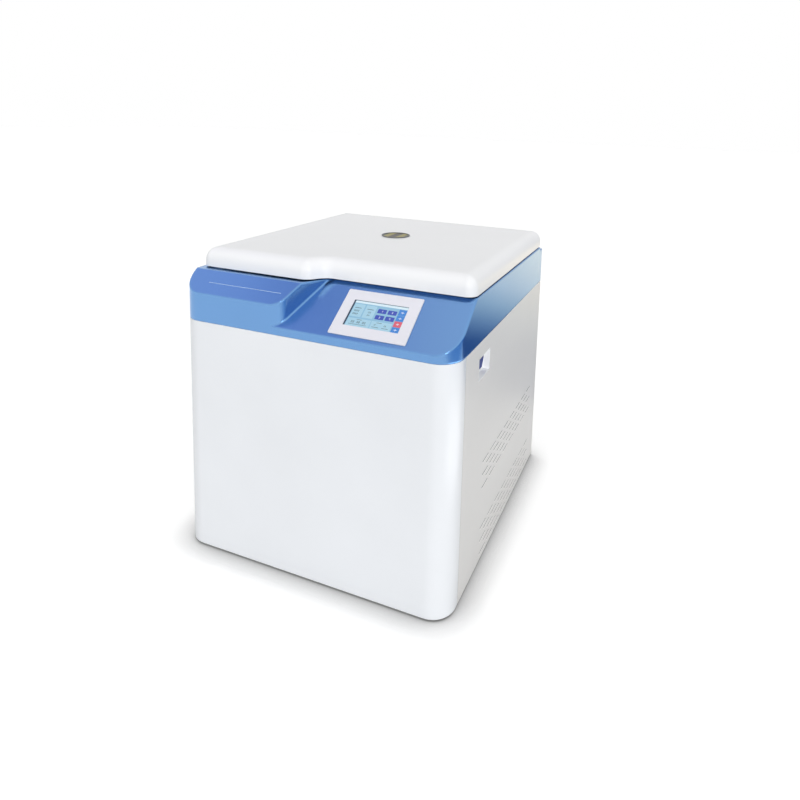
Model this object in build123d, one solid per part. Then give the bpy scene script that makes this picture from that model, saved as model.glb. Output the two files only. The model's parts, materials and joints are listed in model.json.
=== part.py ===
"""Floor-standing refrigerated centrifuge with a swing-out rotor, in millimetres.

+Z is up, +X is to the right seen from the front, and the front faces -Y. The origin is on the floor under
the middle of the cabinet. A depth whose name ends in _from_front is measured back from the front face.
"""

from build123d import *
import math
import os

# Cabinet
body_width = 780.0
body_depth = 850.0
cabinet_top = 640.0
skirt_clearance = 6.0
corner_radius = 60.0
rear_corner_radius = 4.0
front_sheet = 2.0
side_sheet = 1.5
seam_from_front = 74.0
seam_gap = 1.5
panel_return = 14.0
return_foot = 60.0
rear_wrap = 20.0
sheet_fit = 0.5

# Frame
tube_side = 30.0
tube_wall = 2.5
foot_height = 20.0
pan_sheet = 2.5
pan_rim = 12.0
mid_rail_top = 452.0
support_plate = 6.0
support_plate_margin = 10.0

# Feet
foot_pad_radius = 25.0
foot_pad_height = 12.0
foot_stem_radius = 6.0
foot_stem_length = 40.0
foot_nut_across = 19.0
foot_nut_height = 9.0
foot_inset_x = 78.0
foot_inset_y = 112.0

# Top collar
collar_height = 122.0
collar_wall = 4.0
collar_flange_width = 40.0
panel_tilt = 36.0
right_lip = 20.0
left_lip = 76.0
riser_from_front = 145.0
step_start_x = -110.0
step_angle = 65.0
step_front_radius = 45.0
step_rear_radius = 45.0
hinge_ledge_depth = 34.0
hinge_ledge_drop = 10.0
collar_crease_radius = 4.0

# Chamber
chamber_front_margin = 191.7
chamber_rear_margin = 41.7
bowl_depth = 270.0
bowl_sheet = 1.5
bowl_corner = 30.0
bowl_hole_radius = 36.0
bowl_flange_width = 21.7
coil_tube_radius = 5.0
coil_gap = 0.3
coil_rings = 9
coil_pitch = 27.5
coil_first_height = 25.0
header_radius = 4.0
header_angles = (205.0, 225.0)
insulation_wall = 37.9
guard_wall = 8.0
shaft_hole_radius = 40.0
gasket_width = 12.0
gasket_squeeze_gap = 0.3
gasket_edge_radius = 3.0
deck_fit = 0.3

# Lid
lid_gap = 3.0
lid_thickness = 53.0
lid_side_inset = 2.0
lid_rear_inset = 4.0
lid_left_from_front = 82.0
lid_right_from_front = 127.0
lid_step_start_x = -72.0
lid_step_angle = 52.0
lid_step_radius = 40.0
lid_front_corner = 28.0
lid_rear_corner = 30.0
lid_edge_radius = 16.0
lid_wall = 4.0
liner_recess = 6.0
liner_sheet = 2.0
liner_fit = 0.3
sight_ring_radius = 44.0
sight_ring_wall = 8.0
sight_ring_stand = 1.0
sight_flange = 2.5
sight_glass_seat = 3.0
sight_glass_thickness = 6.0

# Lid hinge
hinge_axis_inset = 18.0
hinge_axis_rise = 13.0
hinge_x = 230.0
hinge_pin_radius = 4.0
hinge_running_gap = 0.05
hinge_knuckle_radius = 8.0
hinge_arm_width = 24.0
hinge_side_gap = 0.5
hinge_ear_width = 6.0
hinge_leaf_sheet = 3.0
hinge_leaf_length = 46.0
hinge_leaf_half_width = 30.0
hinge_notch_half_width = 42.0
hinge_notch_clearance = 4.0
hinge_notch_headroom = 2.0
hinge_base_overhang = 6.0
hinge_leaf_cover = 6.0
spring_wire_radius = 1.2
spring_turns = 6
spring_pitch = 2.28
spring_pin_gap = 0.3
hinge_pin_overrun = 2.0

# Lid lock
lock_x = 44.0
lock_ring_gap = 11.4
striker_width = 20.0
striker_sheet = 4.0
striker_length = 46.0
striker_window_width = 11.0
striker_window_height = 13.0
striker_sill = 6.0
striker_base_half = 16.0
striker_base_sheet = 3.0
striker_base_margin = 2.0
lock_slot_clearance = 4.0
lock_box_length = 92.0
lock_box_width = 38.0
lock_box_height = 46.0
bolt_section = 8.0
bolt_length = 40.0
bolt_clearance = 0.4
bolt_travel = 16.0
bolt_tip_gap = 2.0
bolt_nose = 1.5
lock_end_wall = 8.0

# Drive
damper_height = 28.0
damper_radius = 18.0
damper_spacing = 190.0
motor_plate_sheet = 8.0
motor_plate_side = 250.0
motor_radius = 95.0
motor_length = 215.0
motor_cavity_radius = 52.0
motor_end_wall = 22.0
motor_grooves = 24
motor_groove_width = 8.0
motor_groove_depth = 5.0
bearing_radius = 31.0
bearing_width = 16.0
shaft_radius = 15.0
shaft_running_gap = 0.05
armature_radius = 48.0
armature_length = 136.0
shaft_top_radius = 12.0
shaft_end_gap = 2.0
boot_wall = 4.0
boot_height = 22.0
boot_shaft_gap = 3.0
boot_flange_width = 14.0
boot_flange_sheet = 3.0

# Rotor and buckets
pin_circle_radius = 112.0
rotor_radius = 165.0
rotor_thickness = 44.0
rotor_hub_radius = 46.0
rotor_hub_rise = 8.0
rotor_hub_drop = 8.0
rotor_slot_half_width = 52.0
rotor_slot_inner = 60.0
rotor_slot_corner = 6.0
rotor_edge_chamfer = 4.0
arm_hole_radius = 13.0
arm_hole_circle = 122.0
bucket_pin_radius = 5.0
bucket_pin_seat = 12.0
bucket_pin_bite = 5.5
bucket_running_gap = 0.08
bucket_side_gap = 0.3
bucket_radius = 46.0
bucket_wall = 3.5
bucket_floor = 6.0
bucket_swing_clearance = 26.0
bucket_floor_gap = 36.0
bucket_above_pin = 16.0
bucket_corner = 8.0
boss_reach = 50.0
boss_half_width = 12.0
boss_below_pin = 20.0
boss_above_pin = 12.0
nut_radius = 24.0
nut_height = 24.0
nut_flutes = 8
nut_flute_radius = 4.0
nut_flute_start = 4.0
nut_chamfer = 3.0
nut_wall = 6.0
bucket_count = 4

# Touch panel
bezel_width = 206.0
bezel_height = 136.0
bezel_thickness = 6.0
bezel_proud = 3.0
bezel_corner = 3.0
bezel_centre_x = 160.0
bezel_up_slope = 79.0
window_width = 148.0
window_height = 77.0
window_offset_x = -1.0
window_offset_up = -0.5
screen_glass = 3.0
screen_recess = 1.5
screen_edge = 4.0
module_depth = 32.0
module_margin = 12.0
board_width = 150.0
board_height = 90.0
board_thickness = 6.0
board_standoff = 5.0
board_standoff_radius = 3.0
board_standoff_inset = 8.0

# Power switch recess
recess_from_front = 174.0
recess_length = 92.0
recess_height = 60.0
recess_drop = 41.0
recess_depth = 18.0
recess_wall = 1.5
rocker_length = 36.0
rocker_height = 34.0
rocker_setback = 20.0
rocker_drop = 7.0
rocker_depth = 12.0
rocker_proud = 4.0
rocker_valley = 2.0
rocker_root_depth = 3.0
rocker_root_taper = 6.2
rocker_rest_angle = 8.0
rocker_clearance = 0.4
rocker_housing_wall = 2.0
rocker_housing_depth = 20.0
rocker_pin_radius = 1.5
rocker_pin_running_gap = 0.05

# Louvres
louvre_columns = 8
louvre_rows = 5
louvre_first_from_front = 242.0
louvre_pitch = 67.6
louvre_length = 52.0
louvre_opening = 5.0
louvre_scoop_depth = 4.0
louvre_scoop_sheet = 1.0
louvre_row_pitch = 18.5
upper_louvres_top = 292.0
lower_louvres_top = 100.0

# Rear panel
grille_slot_length = 120.0
grille_slot_height = 5.0
grille_slot_pitch = 15.0
grille_slots = 12
grille_columns = 3
grille_column_pitch = 150.0
grille_x = 60.0
grille_bottom = 150.0
inlet_width = 48.0
inlet_height = 28.0
inlet_depth = 30.0
inlet_wall = 5.0
inlet_flange = 5.0
inlet_flange_sheet = 2.0
inlet_from_side = 140.0
inlet_z = 90.0
inlet_pin_width = 4.0
inlet_pin_pitch = 9.0
inlet_pin_length = 14.0
inlet_earth_rise = 3.0
inlet_line_drop = 2.0

# Cooling unit
compressor_radius = 82.0
compressor_height = 215.0
compressor_dome = 34.0
compressor_seat_radius = 45.0
compressor_seat_height = 20.0
compressor_from_side = 200.0
compressor_from_front = 620.0
compressor_foot_side = 190.0
compressor_foot_sheet = 4.0
compressor_mount_radius = 12.0
compressor_mount_height = 18.0
condenser_thickness = 44.0
condenser_length = 300.0
condenser_height = 240.0
condenser_from_front = 480.0
condenser_side_gap = 12.0
condenser_fins = 24
condenser_fin_sheet = 0.8
condenser_tube_radius = 5.0
condenser_tube_rows = 5
condenser_tube_overrun = 6.0
shroud_sheet = 2.0
shroud_depth = 46.0
fan_radius = 100.0
fan_tip_clearance = 6.0
fan_blade_count = 5
fan_hub_radius = 24.0
fan_hub_depth = 22.0
fan_blade_sheet = 2.5
fan_blade_chord = 38.0
fan_blade_angle = 62.0
fan_blade_root = 2.0
fan_shaft_radius = 4.0
fan_shaft_running_gap = 0.05
fan_shaft_clearance = 1.0
fan_motor_chamfer = 4.0
fan_motor_radius = 34.0
fan_motor_depth = 50.0
fan_bar_width = 14.0
pipe_radius = 4.0
pipe_bend = 30.0
discharge_rise = 50.0
suction_rise = 90.0
liquid_rise = 88.0
header_drop = 20.0
discharge_port_x = 30.0
discharge_port_y = 20.0
suction_port_y = -10.0
condenser_port_inset = 30.0
liquid_port_inset = 60.0
pipe_rear_gap = 60.0
drier_radius = 13.0
drier_length = 90.0
drier_x = 120.0
drier_end_radius = 6.0

# Drive inverter
inverter_width = 200.0
inverter_depth = 120.0
inverter_height = 240.0
inverter_from_side = 190.0
inverter_from_front = 130.0
inverter_fins = 8
inverter_fin_depth = 14.0
inverter_fin_sheet = 3.0
inverter_fin_margin = 10.0

# Panel screws
screw_head_radius = 4.5
screw_head_height = 2.2
screw_shank_radius = 2.0
screw_shank_length = 8.0
screw_inset = 6.0
screw_end_margin = 70.0

# Worked out from the sizes above
front_y = -body_depth / 2
rear_y = body_depth / 2
half_width = body_width / 2
deck_z = cabinet_top + collar_height
lid_bottom = deck_z + lid_gap
lid_top = lid_bottom + lid_thickness
bowl_floor_z = deck_z - bowl_depth
guard_outer = (body_depth - chamber_front_margin - chamber_rear_margin) / 2
chamber_y = front_y + chamber_front_margin + guard_outer
guard_inner = guard_outer - guard_wall
insulation_outer = guard_inner - coil_gap
insulation_inner = insulation_outer - insulation_wall
coil_radius = insulation_inner - coil_gap - coil_tube_radius
bowl_outer = coil_radius - coil_tube_radius - coil_gap
bowl_radius = bowl_outer - bowl_sheet
flange_radius = bowl_radius + bowl_flange_width
deck_opening = flange_radius + deck_fit
support_top = mid_rail_top + support_plate
header_foot = mid_rail_top - header_drop
collar_underside = deck_z - collar_wall
liner_bottom = lid_bottom + liner_recess
liner_top = liner_bottom + liner_sheet
hinge_y = rear_y - hinge_axis_inset
hinge_z = deck_z + hinge_axis_rise
ledge_z = deck_z - hinge_ledge_drop
bucket_below_pin = bowl_radius - bucket_swing_clearance - pin_circle_radius
pin_z = bowl_floor_z + bucket_floor_gap + bucket_below_pin
rotor_bottom = pin_z - rotor_thickness / 2
rotor_top = pin_z + rotor_thickness / 2
damper_bottom = mid_rail_top - damper_height
motor_top = damper_bottom - motor_plate_sheet
motor_bottom = motor_top - motor_length
pan_top = foot_height + pan_sheet
tilt = math.radians(panel_tilt)
post_x = half_width - side_sheet - tube_side / 2
post_front_y = front_y + seam_from_front + seam_gap / 2 + side_sheet + tube_side / 2
rear_recess = rear_corner_radius - side_sheet + sheet_fit
rear_face_y = rear_y - rear_recess
post_rear_y = rear_face_y - side_sheet - tube_side / 2
recess_y = front_y + recess_from_front + recess_length / 2
sight_hole_radius = sight_ring_radius - sight_flange
sight_bore = sight_ring_radius - sight_ring_wall
glass_width = window_width + 2 * screen_edge
glass_height = window_height + 2 * screen_edge
hinge_leaf_rear = hinge_y - hinge_knuckle_radius - hinge_notch_clearance
condenser_outer_x = half_width - side_sheet - condenser_side_gap
condenser_inner_x = condenser_outer_x - condenser_thickness
condenser_y = front_y + condenser_from_front
condenser_top = pan_top + condenser_height
fan_x = condenser_inner_x - shroud_depth / 2
fan_z = pan_top + condenser_height / 2
compressor_y = front_y + compressor_from_front
compressor_top = pan_top + compressor_mount_height + compressor_height
recess_z = cabinet_top - recess_drop - recess_height / 2
rocker_y = recess_y + rocker_setback
rocker_z = recess_z - rocker_drop
lock_y = chamber_y - guard_outer - lock_ring_gap - lock_box_width / 2
inlet_x = inlet_from_side - half_width
compressor_x = compressor_from_side - half_width
inverter_x = inverter_from_side - half_width


def block(x0, x1, y0, y1, z0, z1):
    """A box between two corners."""
    return Pos((x0 + x1) / 2, (y0 + y1) / 2, (z0 + z1) / 2) * Box(x1 - x0, y1 - y0, z1 - z0)


def rod(radius, z0, z1, x=0.0, y=0.0):
    """An upright cylinder."""
    return Pos(x, y, (z0 + z1) / 2) * Cylinder(radius, z1 - z0)


def rod_x(radius, x0, x1, y, z):
    """A cylinder lying along X."""
    return Pos((x0 + x1) / 2, y, z) * Rot(0, 90, 0) * Cylinder(radius, x1 - x0)


def rod_y(radius, y0, y1, x, z):
    """A cylinder lying along Y."""
    return Pos(x, (y0 + y1) / 2, z) * Rot(90, 0, 0) * Cylinder(radius, y1 - y0)


def prism(face, z0, z1):
    """A face in the ground plane raised between two heights."""
    return extrude(Pos(0, 0, z0) * face, z1 - z0)


def cabinet_plan(inset=0.0):
    """The cabinet seen from above, moved in by inset, round at its front corners."""
    face = Rectangle(body_width - 2 * inset, body_depth - 2 * inset)
    face = fillet(face.vertices().sort_by(Axis.Y)[:2], max(corner_radius - inset, 1.0))
    return fillet(face.vertices().sort_by(Axis.Y)[-2:], max(rear_corner_radius - inset, 1.0))


def step_plan():
    """The part of the plan in front of the collar's riser and to the right of its curved step."""
    riser_y = front_y + riser_from_front
    angle = math.radians(step_angle)
    start = Vector(step_start_x, front_y)
    bend = Vector(
        start.X + step_front_radius * math.sin(angle),
        start.Y + step_front_radius * (1 - math.cos(angle)),
    )
    rear_rise = step_rear_radius * (1 - math.cos(angle))
    run = (riser_y - rear_rise - bend.Y) / math.sin(angle)
    turn = Vector(bend.X + run * math.cos(angle), bend.Y + run * math.sin(angle))
    end = Vector(turn.X + step_rear_radius * math.sin(angle), riser_y)
    beyond = half_width + corner_radius
    before = front_y - corner_radius
    outline = [
        JernArc(start, (1, 0), step_front_radius, step_angle),
        Line(bend, turn),
        JernArc(turn, (math.cos(angle), math.sin(angle)), step_rear_radius, -step_angle),
        Line(end, (beyond, riser_y)),
        Line((beyond, riser_y), (beyond, before)),
        Line((beyond, before), (start.X, before)),
        Line((start.X, before), start),
    ]
    return make_face(Curve() + outline)


def above_slope(lip, last_y, drop=0.0):
    """Everything over a slope that climbs backwards from the collar's front face, as far back as last_y."""
    first_y = front_y - corner_radius
    top = lid_top
    height = cabinet_top + lip - drop / math.cos(tilt)
    low = height + (first_y - front_y) * math.tan(tilt)
    high = height + (last_y - front_y) * math.tan(tilt)
    side = Plane(origin=(-body_width, 0, 0), x_dir=(0, 1, 0), z_dir=(1, 0, 0))
    outline = Polyline((first_y, low), (last_y, high), (last_y, top), (first_y, top), close=True)
    return extrude(side * make_face(outline), 2 * body_width)


def collar_solid(inset, thickness_down):
    """The collar's outer form, or its hollow when inset and thickness_down are the wall."""
    riser_y = front_y + riser_from_front
    plan = step_plan()
    if inset:
        plan = offset(plan, amount=inset, kind=Kind.ARC)
        riser_y += inset
    top = deck_z - thickness_down
    form = prism(cabinet_plan(inset), cabinet_top, top)
    left_last = front_y + (deck_z - cabinet_top - left_lip) / math.tan(tilt) + inset
    form -= above_slope(left_lip, left_last, thickness_down)
    deep = above_slope(right_lip, riser_y, thickness_down)
    form -= prism(plan, cabinet_top - 1, lid_top) & deep
    ledge_front = rear_y - hinge_ledge_depth - inset
    form -= block(-body_width, body_width, ledge_front, rear_y + 1, ledge_z - thickness_down, lid_top)
    return form


def slope_frame():
    """The place of the touch panel: x to the right, y up the slope, z out of it."""
    return Plane(
        origin=(
            bezel_centre_x,
            front_y + bezel_up_slope * math.cos(tilt),
            cabinet_top + right_lip + bezel_up_slope * math.sin(tilt),
        ),
        x_dir=(1, 0, 0),
        z_dir=(0, -math.sin(tilt), math.cos(tilt)),
    ).location


def top_collar():
    """Moulded collar: skin, deck with the chamber opening, bottom flange and the cut-outs in its slope."""
    body = collar_solid(0.0, 0.0)
    body = fillet(body.edges().filter_by(is_crease), collar_crease_radius)
    hollow = collar_solid(collar_wall, collar_wall)
    flange_top = cabinet_top + collar_wall
    hollow -= block(-body_width, body_width, front_y, rear_y, 0, flange_top)
    body -= hollow
    body -= prism(cabinet_plan(collar_flange_width), cabinet_top - 1, flange_top + 1)
    body -= rod(deck_opening, collar_underside - 1, lid_top, 0, chamber_y)
    body -= striker_slot(collar_underside - 1)
    opening = Box(bezel_width - module_margin, bezel_height - module_margin, lid_thickness)
    return body - slope_frame() * opening


def is_crease(edge):
    """True for the edges of the collar's two slopes that show in front of the lid."""
    box = edge.bounding_box()
    low = box.min.Z > cabinet_top + 1
    ahead = box.max.Y < front_y + riser_from_front - 1
    return low and ahead


def front_panel():
    """White front sheet, wrapped round both front corners, with returns along its edges."""
    shell = prism(cabinet_plan(0) - cabinet_plan(front_sheet), skirt_clearance, cabinet_top)
    last_y = front_y + seam_from_front - seam_gap / 2
    sheet = shell & block(-body_width, body_width, front_y - 1, last_y, 0, cabinet_top)
    rim = prism(cabinet_plan(0) - cabinet_plan(panel_return), cabinet_top - front_sheet, cabinet_top)
    sheet += rim & block(-body_width, body_width, front_y - 1, last_y, 0, cabinet_top)
    for side in (-1, 1):
        outer = side * half_width
        inner = side * (half_width - panel_return)
        x0, x1 = sorted((outer, inner))
        sheet += block(x0, x1, last_y - front_sheet, last_y, return_foot, cabinet_top)
    return sheet


def louvre_places(side):
    """Centres of the louvres' openings on one side panel."""
    for field_top in (upper_louvres_top, lower_louvres_top):
        for row in range(louvre_rows):
            shifted = row % 2
            for column in range(louvre_columns - shifted):
                along = louvre_first_from_front + louvre_length / 2 + (column + shifted / 2) * louvre_pitch
                yield Vector(side * half_width, front_y + along, field_top - row * louvre_row_pitch)


def side_panel(side):
    """Silver side sheet with a return at the front, a wrap round the rear corner and pressed louvres."""
    first_y = front_y + seam_from_front + seam_gap / 2
    shell = prism(cabinet_plan(0) - cabinet_plan(side_sheet), skirt_clearance, cabinet_top)
    inner_x = side * (half_width - rear_wrap)
    x0, x1 = sorted((inner_x, side * (half_width + 1)))
    sheet = shell & block(x0, x1, first_y, rear_y + 1, 0, cabinet_top)
    x0, x1 = sorted((side * half_width, side * (half_width - panel_return)))
    sheet += block(x0, x1, first_y, first_y + side_sheet, return_foot, cabinet_top)
    profile = [
        (0, -louvre_opening),
        (-side_sheet, -louvre_opening),
        (-louvre_scoop_depth, 0),
        (-louvre_scoop_depth + louvre_scoop_sheet, 0),
    ]
    outline = Polyline(*[(side * x, z) for x, z in profile], close=True)
    scoop = extrude(Plane.XZ * make_face(outline), louvre_length / 2, both=True)
    opening = Box(4 * side_sheet, louvre_length, louvre_opening)
    places = list(louvre_places(side))
    sheet -= [Pos(p.X, p.Y, p.Z - louvre_opening / 2) * opening for p in places]
    sheet += [Pos(p.X, p.Y, p.Z) * scoop for p in places]
    if side > 0:
        sheet -= recess_box()
    return sheet


def recess_box():
    """The space that the switch recess fills, from the outer face inwards."""
    return block(
        half_width - recess_depth - recess_wall,
        half_width + 1,
        recess_y - recess_length / 2,
        recess_y + recess_length / 2,
        recess_z - recess_height / 2,
        recess_z + recess_height / 2,
    )


def switch_recess():
    """Cup let into the right side panel, with a housing for the power rocker behind its back wall."""
    outer = recess_box() & block(0, half_width, front_y, rear_y, 0, cabinet_top)
    back_x = half_width - recess_depth
    inner = block(
        back_x,
        half_width + 2,
        recess_y - recess_length / 2 + recess_wall,
        recess_y + recess_length / 2 - recess_wall,
        recess_z - recess_height / 2 + recess_wall,
        recess_z + recess_height / 2 - recess_wall,
    )
    cup = outer - inner
    half_y = rocker_length / 2 + rocker_clearance
    half_z = rocker_height / 2 + rocker_clearance
    rear_x = back_x - rocker_housing_depth
    housing = block(
        rear_x,
        back_x - recess_wall / 2,
        rocker_y - half_y - rocker_housing_wall,
        rocker_y + half_y + rocker_housing_wall,
        rocker_z - half_z - rocker_housing_wall,
        rocker_z + half_z + rocker_housing_wall,
    )
    cup += housing
    cup -= block(
        rear_x + rocker_housing_wall,
        back_x + 1,
        rocker_y - half_y,
        rocker_y + half_y,
        rocker_z - half_z,
        rocker_z + half_z,
    )
    reach = half_y + rocker_housing_wall / 2 + rocker_pin_running_gap
    hole = Pos(back_x - rocker_depth / 2, rocker_y, rocker_z) * Rot(90, 0, 0)
    cup -= hole * Cylinder(rocker_pin_radius + rocker_pin_running_gap, 2 * reach)
    return cup


def power_rocker():
    """Two-position rocker: a V-shaped key on its own pivot pins, pressed at its lower end when off."""
    pivot_x = half_width - recess_depth - rocker_depth / 2
    lean = math.tan(math.radians(rocker_rest_angle))
    out = rocker_depth / 2 + rocker_proud
    half = rocker_height / 2 - out * lean
    outline = Polyline(
        (-rocker_root_depth, -half + rocker_root_taper),
        (out - half * lean, -half),
        (out - rocker_valley, 0),
        (out - half * lean, half),
        (-rocker_root_depth, half - rocker_root_taper),
        close=True,
    )
    key = extrude(Plane.XZ * make_face(outline), rocker_length / 2, both=True)
    pin_length = rocker_length + 2 * rocker_clearance + rocker_housing_wall
    pins = Rot(90, 0, 0) * Cylinder(rocker_pin_radius, pin_length)
    place = Pos(pivot_x, rocker_y, rocker_z)
    return place * Rot(0, rocker_rest_angle, 0) * (key + pins)


def rear_panel():
    """Flat rear sheet inside the cabinet's edge, with air slots, screw holes and the inlet's cut-out."""
    edge = half_width - rear_wrap - sheet_fit
    sheet = block(-edge, edge, rear_face_y - side_sheet, rear_face_y, skirt_clearance, cabinet_top)
    slot = Box(grille_slot_length, 4 * side_sheet, grille_slot_height)
    slots = []
    for row in range(grille_slots):
        z = grille_bottom + row * grille_slot_pitch
        for column in range(grille_columns):
            x = grille_x + (column - (grille_columns - 1) / 2) * grille_column_pitch
            slots.append(Pos(x, rear_face_y, z) * slot)
    for x, z in screw_places():
        slots.append(rod_y(screw_shank_radius, rear_face_y - 2 * side_sheet, rear_face_y + 1, x, z))
    sheet -= slots
    return sheet - Pos(inlet_x, rear_face_y, inlet_z) * Box(inlet_width, 4 * side_sheet, inlet_height)


def power_inlet():
    """Three-pin mains inlet in the rear panel, with its flange on the outside."""
    half_x = inlet_width / 2
    half_z = inlet_height / 2
    start = rear_face_y - inlet_depth
    face = rear_face_y + inlet_flange_sheet
    body = block(inlet_x - half_x, inlet_x + half_x, start, rear_face_y, inlet_z - half_z, inlet_z + half_z)
    body += block(
        inlet_x - half_x - inlet_flange,
        inlet_x + half_x + inlet_flange,
        rear_face_y,
        face,
        inlet_z - half_z - inlet_flange,
        inlet_z + half_z + inlet_flange,
    )
    floor = start + inlet_wall
    body -= block(
        inlet_x - half_x + inlet_wall,
        inlet_x + half_x - inlet_wall,
        floor,
        face + 1,
        inlet_z - half_z + inlet_wall,
        inlet_z + half_z - inlet_wall,
    )
    pin = Box(inlet_pin_width, inlet_pin_length, inlet_pin_width)
    pin_y = floor + inlet_pin_length / 2
    body += Pos(inlet_x, pin_y, inlet_z + inlet_earth_rise) * pin
    for x in (inlet_x - inlet_pin_pitch, inlet_x + inlet_pin_pitch):
        body += Pos(x, pin_y, inlet_z - inlet_line_drop) * pin
    return body


def screw_places():
    """Where the rear panel's screws go, in front of the rear posts."""
    x = half_width - rear_wrap - sheet_fit - screw_inset
    for side in (-1, 1):
        for z in (screw_end_margin, cabinet_top / 2, cabinet_top - screw_end_margin):
            yield side * x, z


def panel_screws():
    """Pan-head screws that hold the rear panel to the rear posts."""
    screws = []
    for x, z in screw_places():
        head = rod_y(screw_head_radius, rear_face_y, rear_face_y + screw_head_height, x, z)
        shank = rod_y(screw_shank_radius, rear_face_y - screw_shank_length, rear_face_y, x, z)
        screws.append(head + shank)
    return Compound(children=screws)


def base_pan():
    """Floor tray of the cabinet, with a rim turned down all round."""
    inset = max(side_sheet, front_sheet) + sheet_fit
    last_y = rear_face_y - side_sheet - sheet_fit
    plan = cabinet_plan(inset) & block_plan(last_y)
    inner = cabinet_plan(inset + pan_sheet) & block_plan(last_y - pan_sheet)
    pan = prism(plan, foot_height, pan_top) + prism(plan - inner, foot_height - pan_rim, foot_height)
    for x, y in foot_places():
        pan -= rod(foot_stem_radius, 0, pan_top + 1, x, y)
    return pan


def block_plan(last_y):
    """Everything in the ground plane in front of last_y."""
    return Pos(0, last_y - body_depth) * Rectangle(2 * body_width, 2 * body_depth)


def foot_places():
    """Where the four levelling feet stand."""
    for x in (-half_width + foot_inset_x, half_width - foot_inset_x):
        for y in (front_y + foot_inset_y, rear_y - foot_inset_y):
            yield x, y


def foot_pads():
    """Rubber pads that the cabinet stands on."""
    pads = []
    for x, y in foot_places():
        pad = rod(foot_pad_radius, 0, foot_pad_height, x, y)
        pads.append(chamfer(pad.edges().group_by(Axis.Z)[-1], 2.0))
    return Compound(children=pads)


def foot_stems():
    """Threaded stems with their lock nuts above the pan."""
    stems = []
    for x, y in foot_places():
        stem = rod(foot_stem_radius, foot_pad_height, foot_pad_height + foot_stem_length, x, y)
        hexagon = Pos(x, y) * RegularPolygon(foot_nut_across / 2, 6, major_radius=False)
        nut = prism(hexagon, pan_top, pan_top + foot_nut_height)
        stems.append(stem + nut)
    return Compound(children=stems)


def tube(length):
    """A length of square frame tube along Z, standing on the ground plane."""
    outer = Pos(0, 0, length / 2) * Box(tube_side, tube_side, length)
    inner_side = tube_side - 2 * tube_wall
    return outer - Pos(0, 0, length / 2) * Box(inner_side, inner_side, length + 2)


def rear_screw_holes():
    """Tapped holes for the rear panel's screws."""
    y0 = rear_face_y - tube_side
    return [rod_y(screw_shank_radius, y0, rear_y, x, z) for x, z in screw_places()]


def frame_uprights():
    """Four corner posts on the pan."""
    posts = []
    for x in (-post_x, post_x):
        for y in (post_front_y, post_rear_y):
            posts.append(Pos(x, y, pan_top) * tube(cabinet_top - pan_top) - rear_screw_holes())
    return Compound(children=posts)


def frame_rails():
    """Top rails on all four sides and the two middle rails that carry the support plate."""
    rails = []
    span_y = post_rear_y - post_front_y - tube_side
    start_y = post_front_y + tube_side / 2
    for x in (-post_x, post_x):
        for top in (cabinet_top, mid_rail_top):
            rails.append(Pos(x, start_y, top - tube_side / 2) * Rot(-90, 0, 0) * tube(span_y))
    span_x = 2 * post_x - tube_side
    for y in (post_front_y, post_rear_y):
        rails.append(Pos(-span_x / 2, y, cabinet_top - tube_side / 2) * Rot(0, 90, 0) * tube(span_x))
    return Compound(children=rails)


def header_places():
    """Where the two upright headers of the evaporator coil stand."""
    for angle in header_angles:
        a = math.radians(angle)
        yield coil_radius * math.cos(a), chamber_y + coil_radius * math.sin(a)


def chamber_support_plate():
    """Steel plate across the middle rails, under the chamber."""
    edge = half_width - side_sheet - sheet_fit
    y0 = chamber_y - guard_outer - support_plate_margin
    y1 = min(chamber_y + guard_outer + support_plate_margin, post_rear_y - tube_side / 2 - sheet_fit)
    plate = block(-edge, edge, y0, y1, mid_rail_top, support_top)
    plate -= rod(shaft_hole_radius, mid_rail_top - 1, support_top + 1, 0, chamber_y)
    for x, y in header_places():
        plate -= rod(header_radius + coil_gap, mid_rail_top - 1, support_top + 1, x, y)
    return plate


def chamber_bowl():
    """Deep-drawn steel bowl with a rim flange and the shaft's hole."""
    bowl = rod(bowl_outer, bowl_floor_z - bowl_sheet, deck_z, 0, chamber_y)
    bowl = fillet(bowl.edges().group_by(Axis.Z)[0], bowl_corner + bowl_sheet)
    inner = rod(bowl_radius, bowl_floor_z, deck_z + 1, 0, chamber_y)
    inner = fillet(inner.edges().group_by(Axis.Z)[0], bowl_corner)
    flange = rod(flange_radius, deck_z - bowl_sheet, deck_z, 0, chamber_y)
    bowl = bowl + flange - inner
    return bowl - rod(bowl_hole_radius, bowl_floor_z - bowl_sheet - 1, bowl_floor_z + 1, 0, chamber_y)


def evaporator_coil():
    """Copper rings round the bowl, joined by two upright headers that leave through the chamber's floor."""
    first_z = bowl_floor_z + coil_first_height
    header_top = first_z + (coil_rings - 1) * coil_pitch + header_radius / 2
    coil = None
    for x, y in header_places():
        header = rod(header_radius, header_foot, header_top, x, y)
        coil = header if coil is None else coil + header
    ring = Torus(coil_radius, coil_tube_radius)
    return coil + [Pos(0, chamber_y, first_z + i * coil_pitch) * ring for i in range(coil_rings)]


def chamber_insulation():
    """Foam jacket round the coil and under the bowl."""
    foam_top = collar_underside
    foam = rod(insulation_outer, support_top, foam_top, 0, chamber_y)
    foam += rod(flange_radius, foam_top - 1, deck_z - bowl_sheet, 0, chamber_y)
    foam -= rod(insulation_inner, bowl_floor_z - bowl_sheet, deck_z + 1, 0, chamber_y)
    foam -= rod(shaft_hole_radius, support_top - 1, bowl_floor_z, 0, chamber_y)
    for x, y in header_places():
        foam -= rod(header_radius + coil_gap, support_top - 1, bowl_floor_z, x, y)
    return foam


def guard_ring():
    """Steel armour ring round the chamber, between the support plate and the collar's deck."""
    ring = rod(guard_outer, support_top, collar_underside, 0, chamber_y)
    return ring - rod(guard_inner, support_top - 1, collar_underside + 1, 0, chamber_y)


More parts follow.
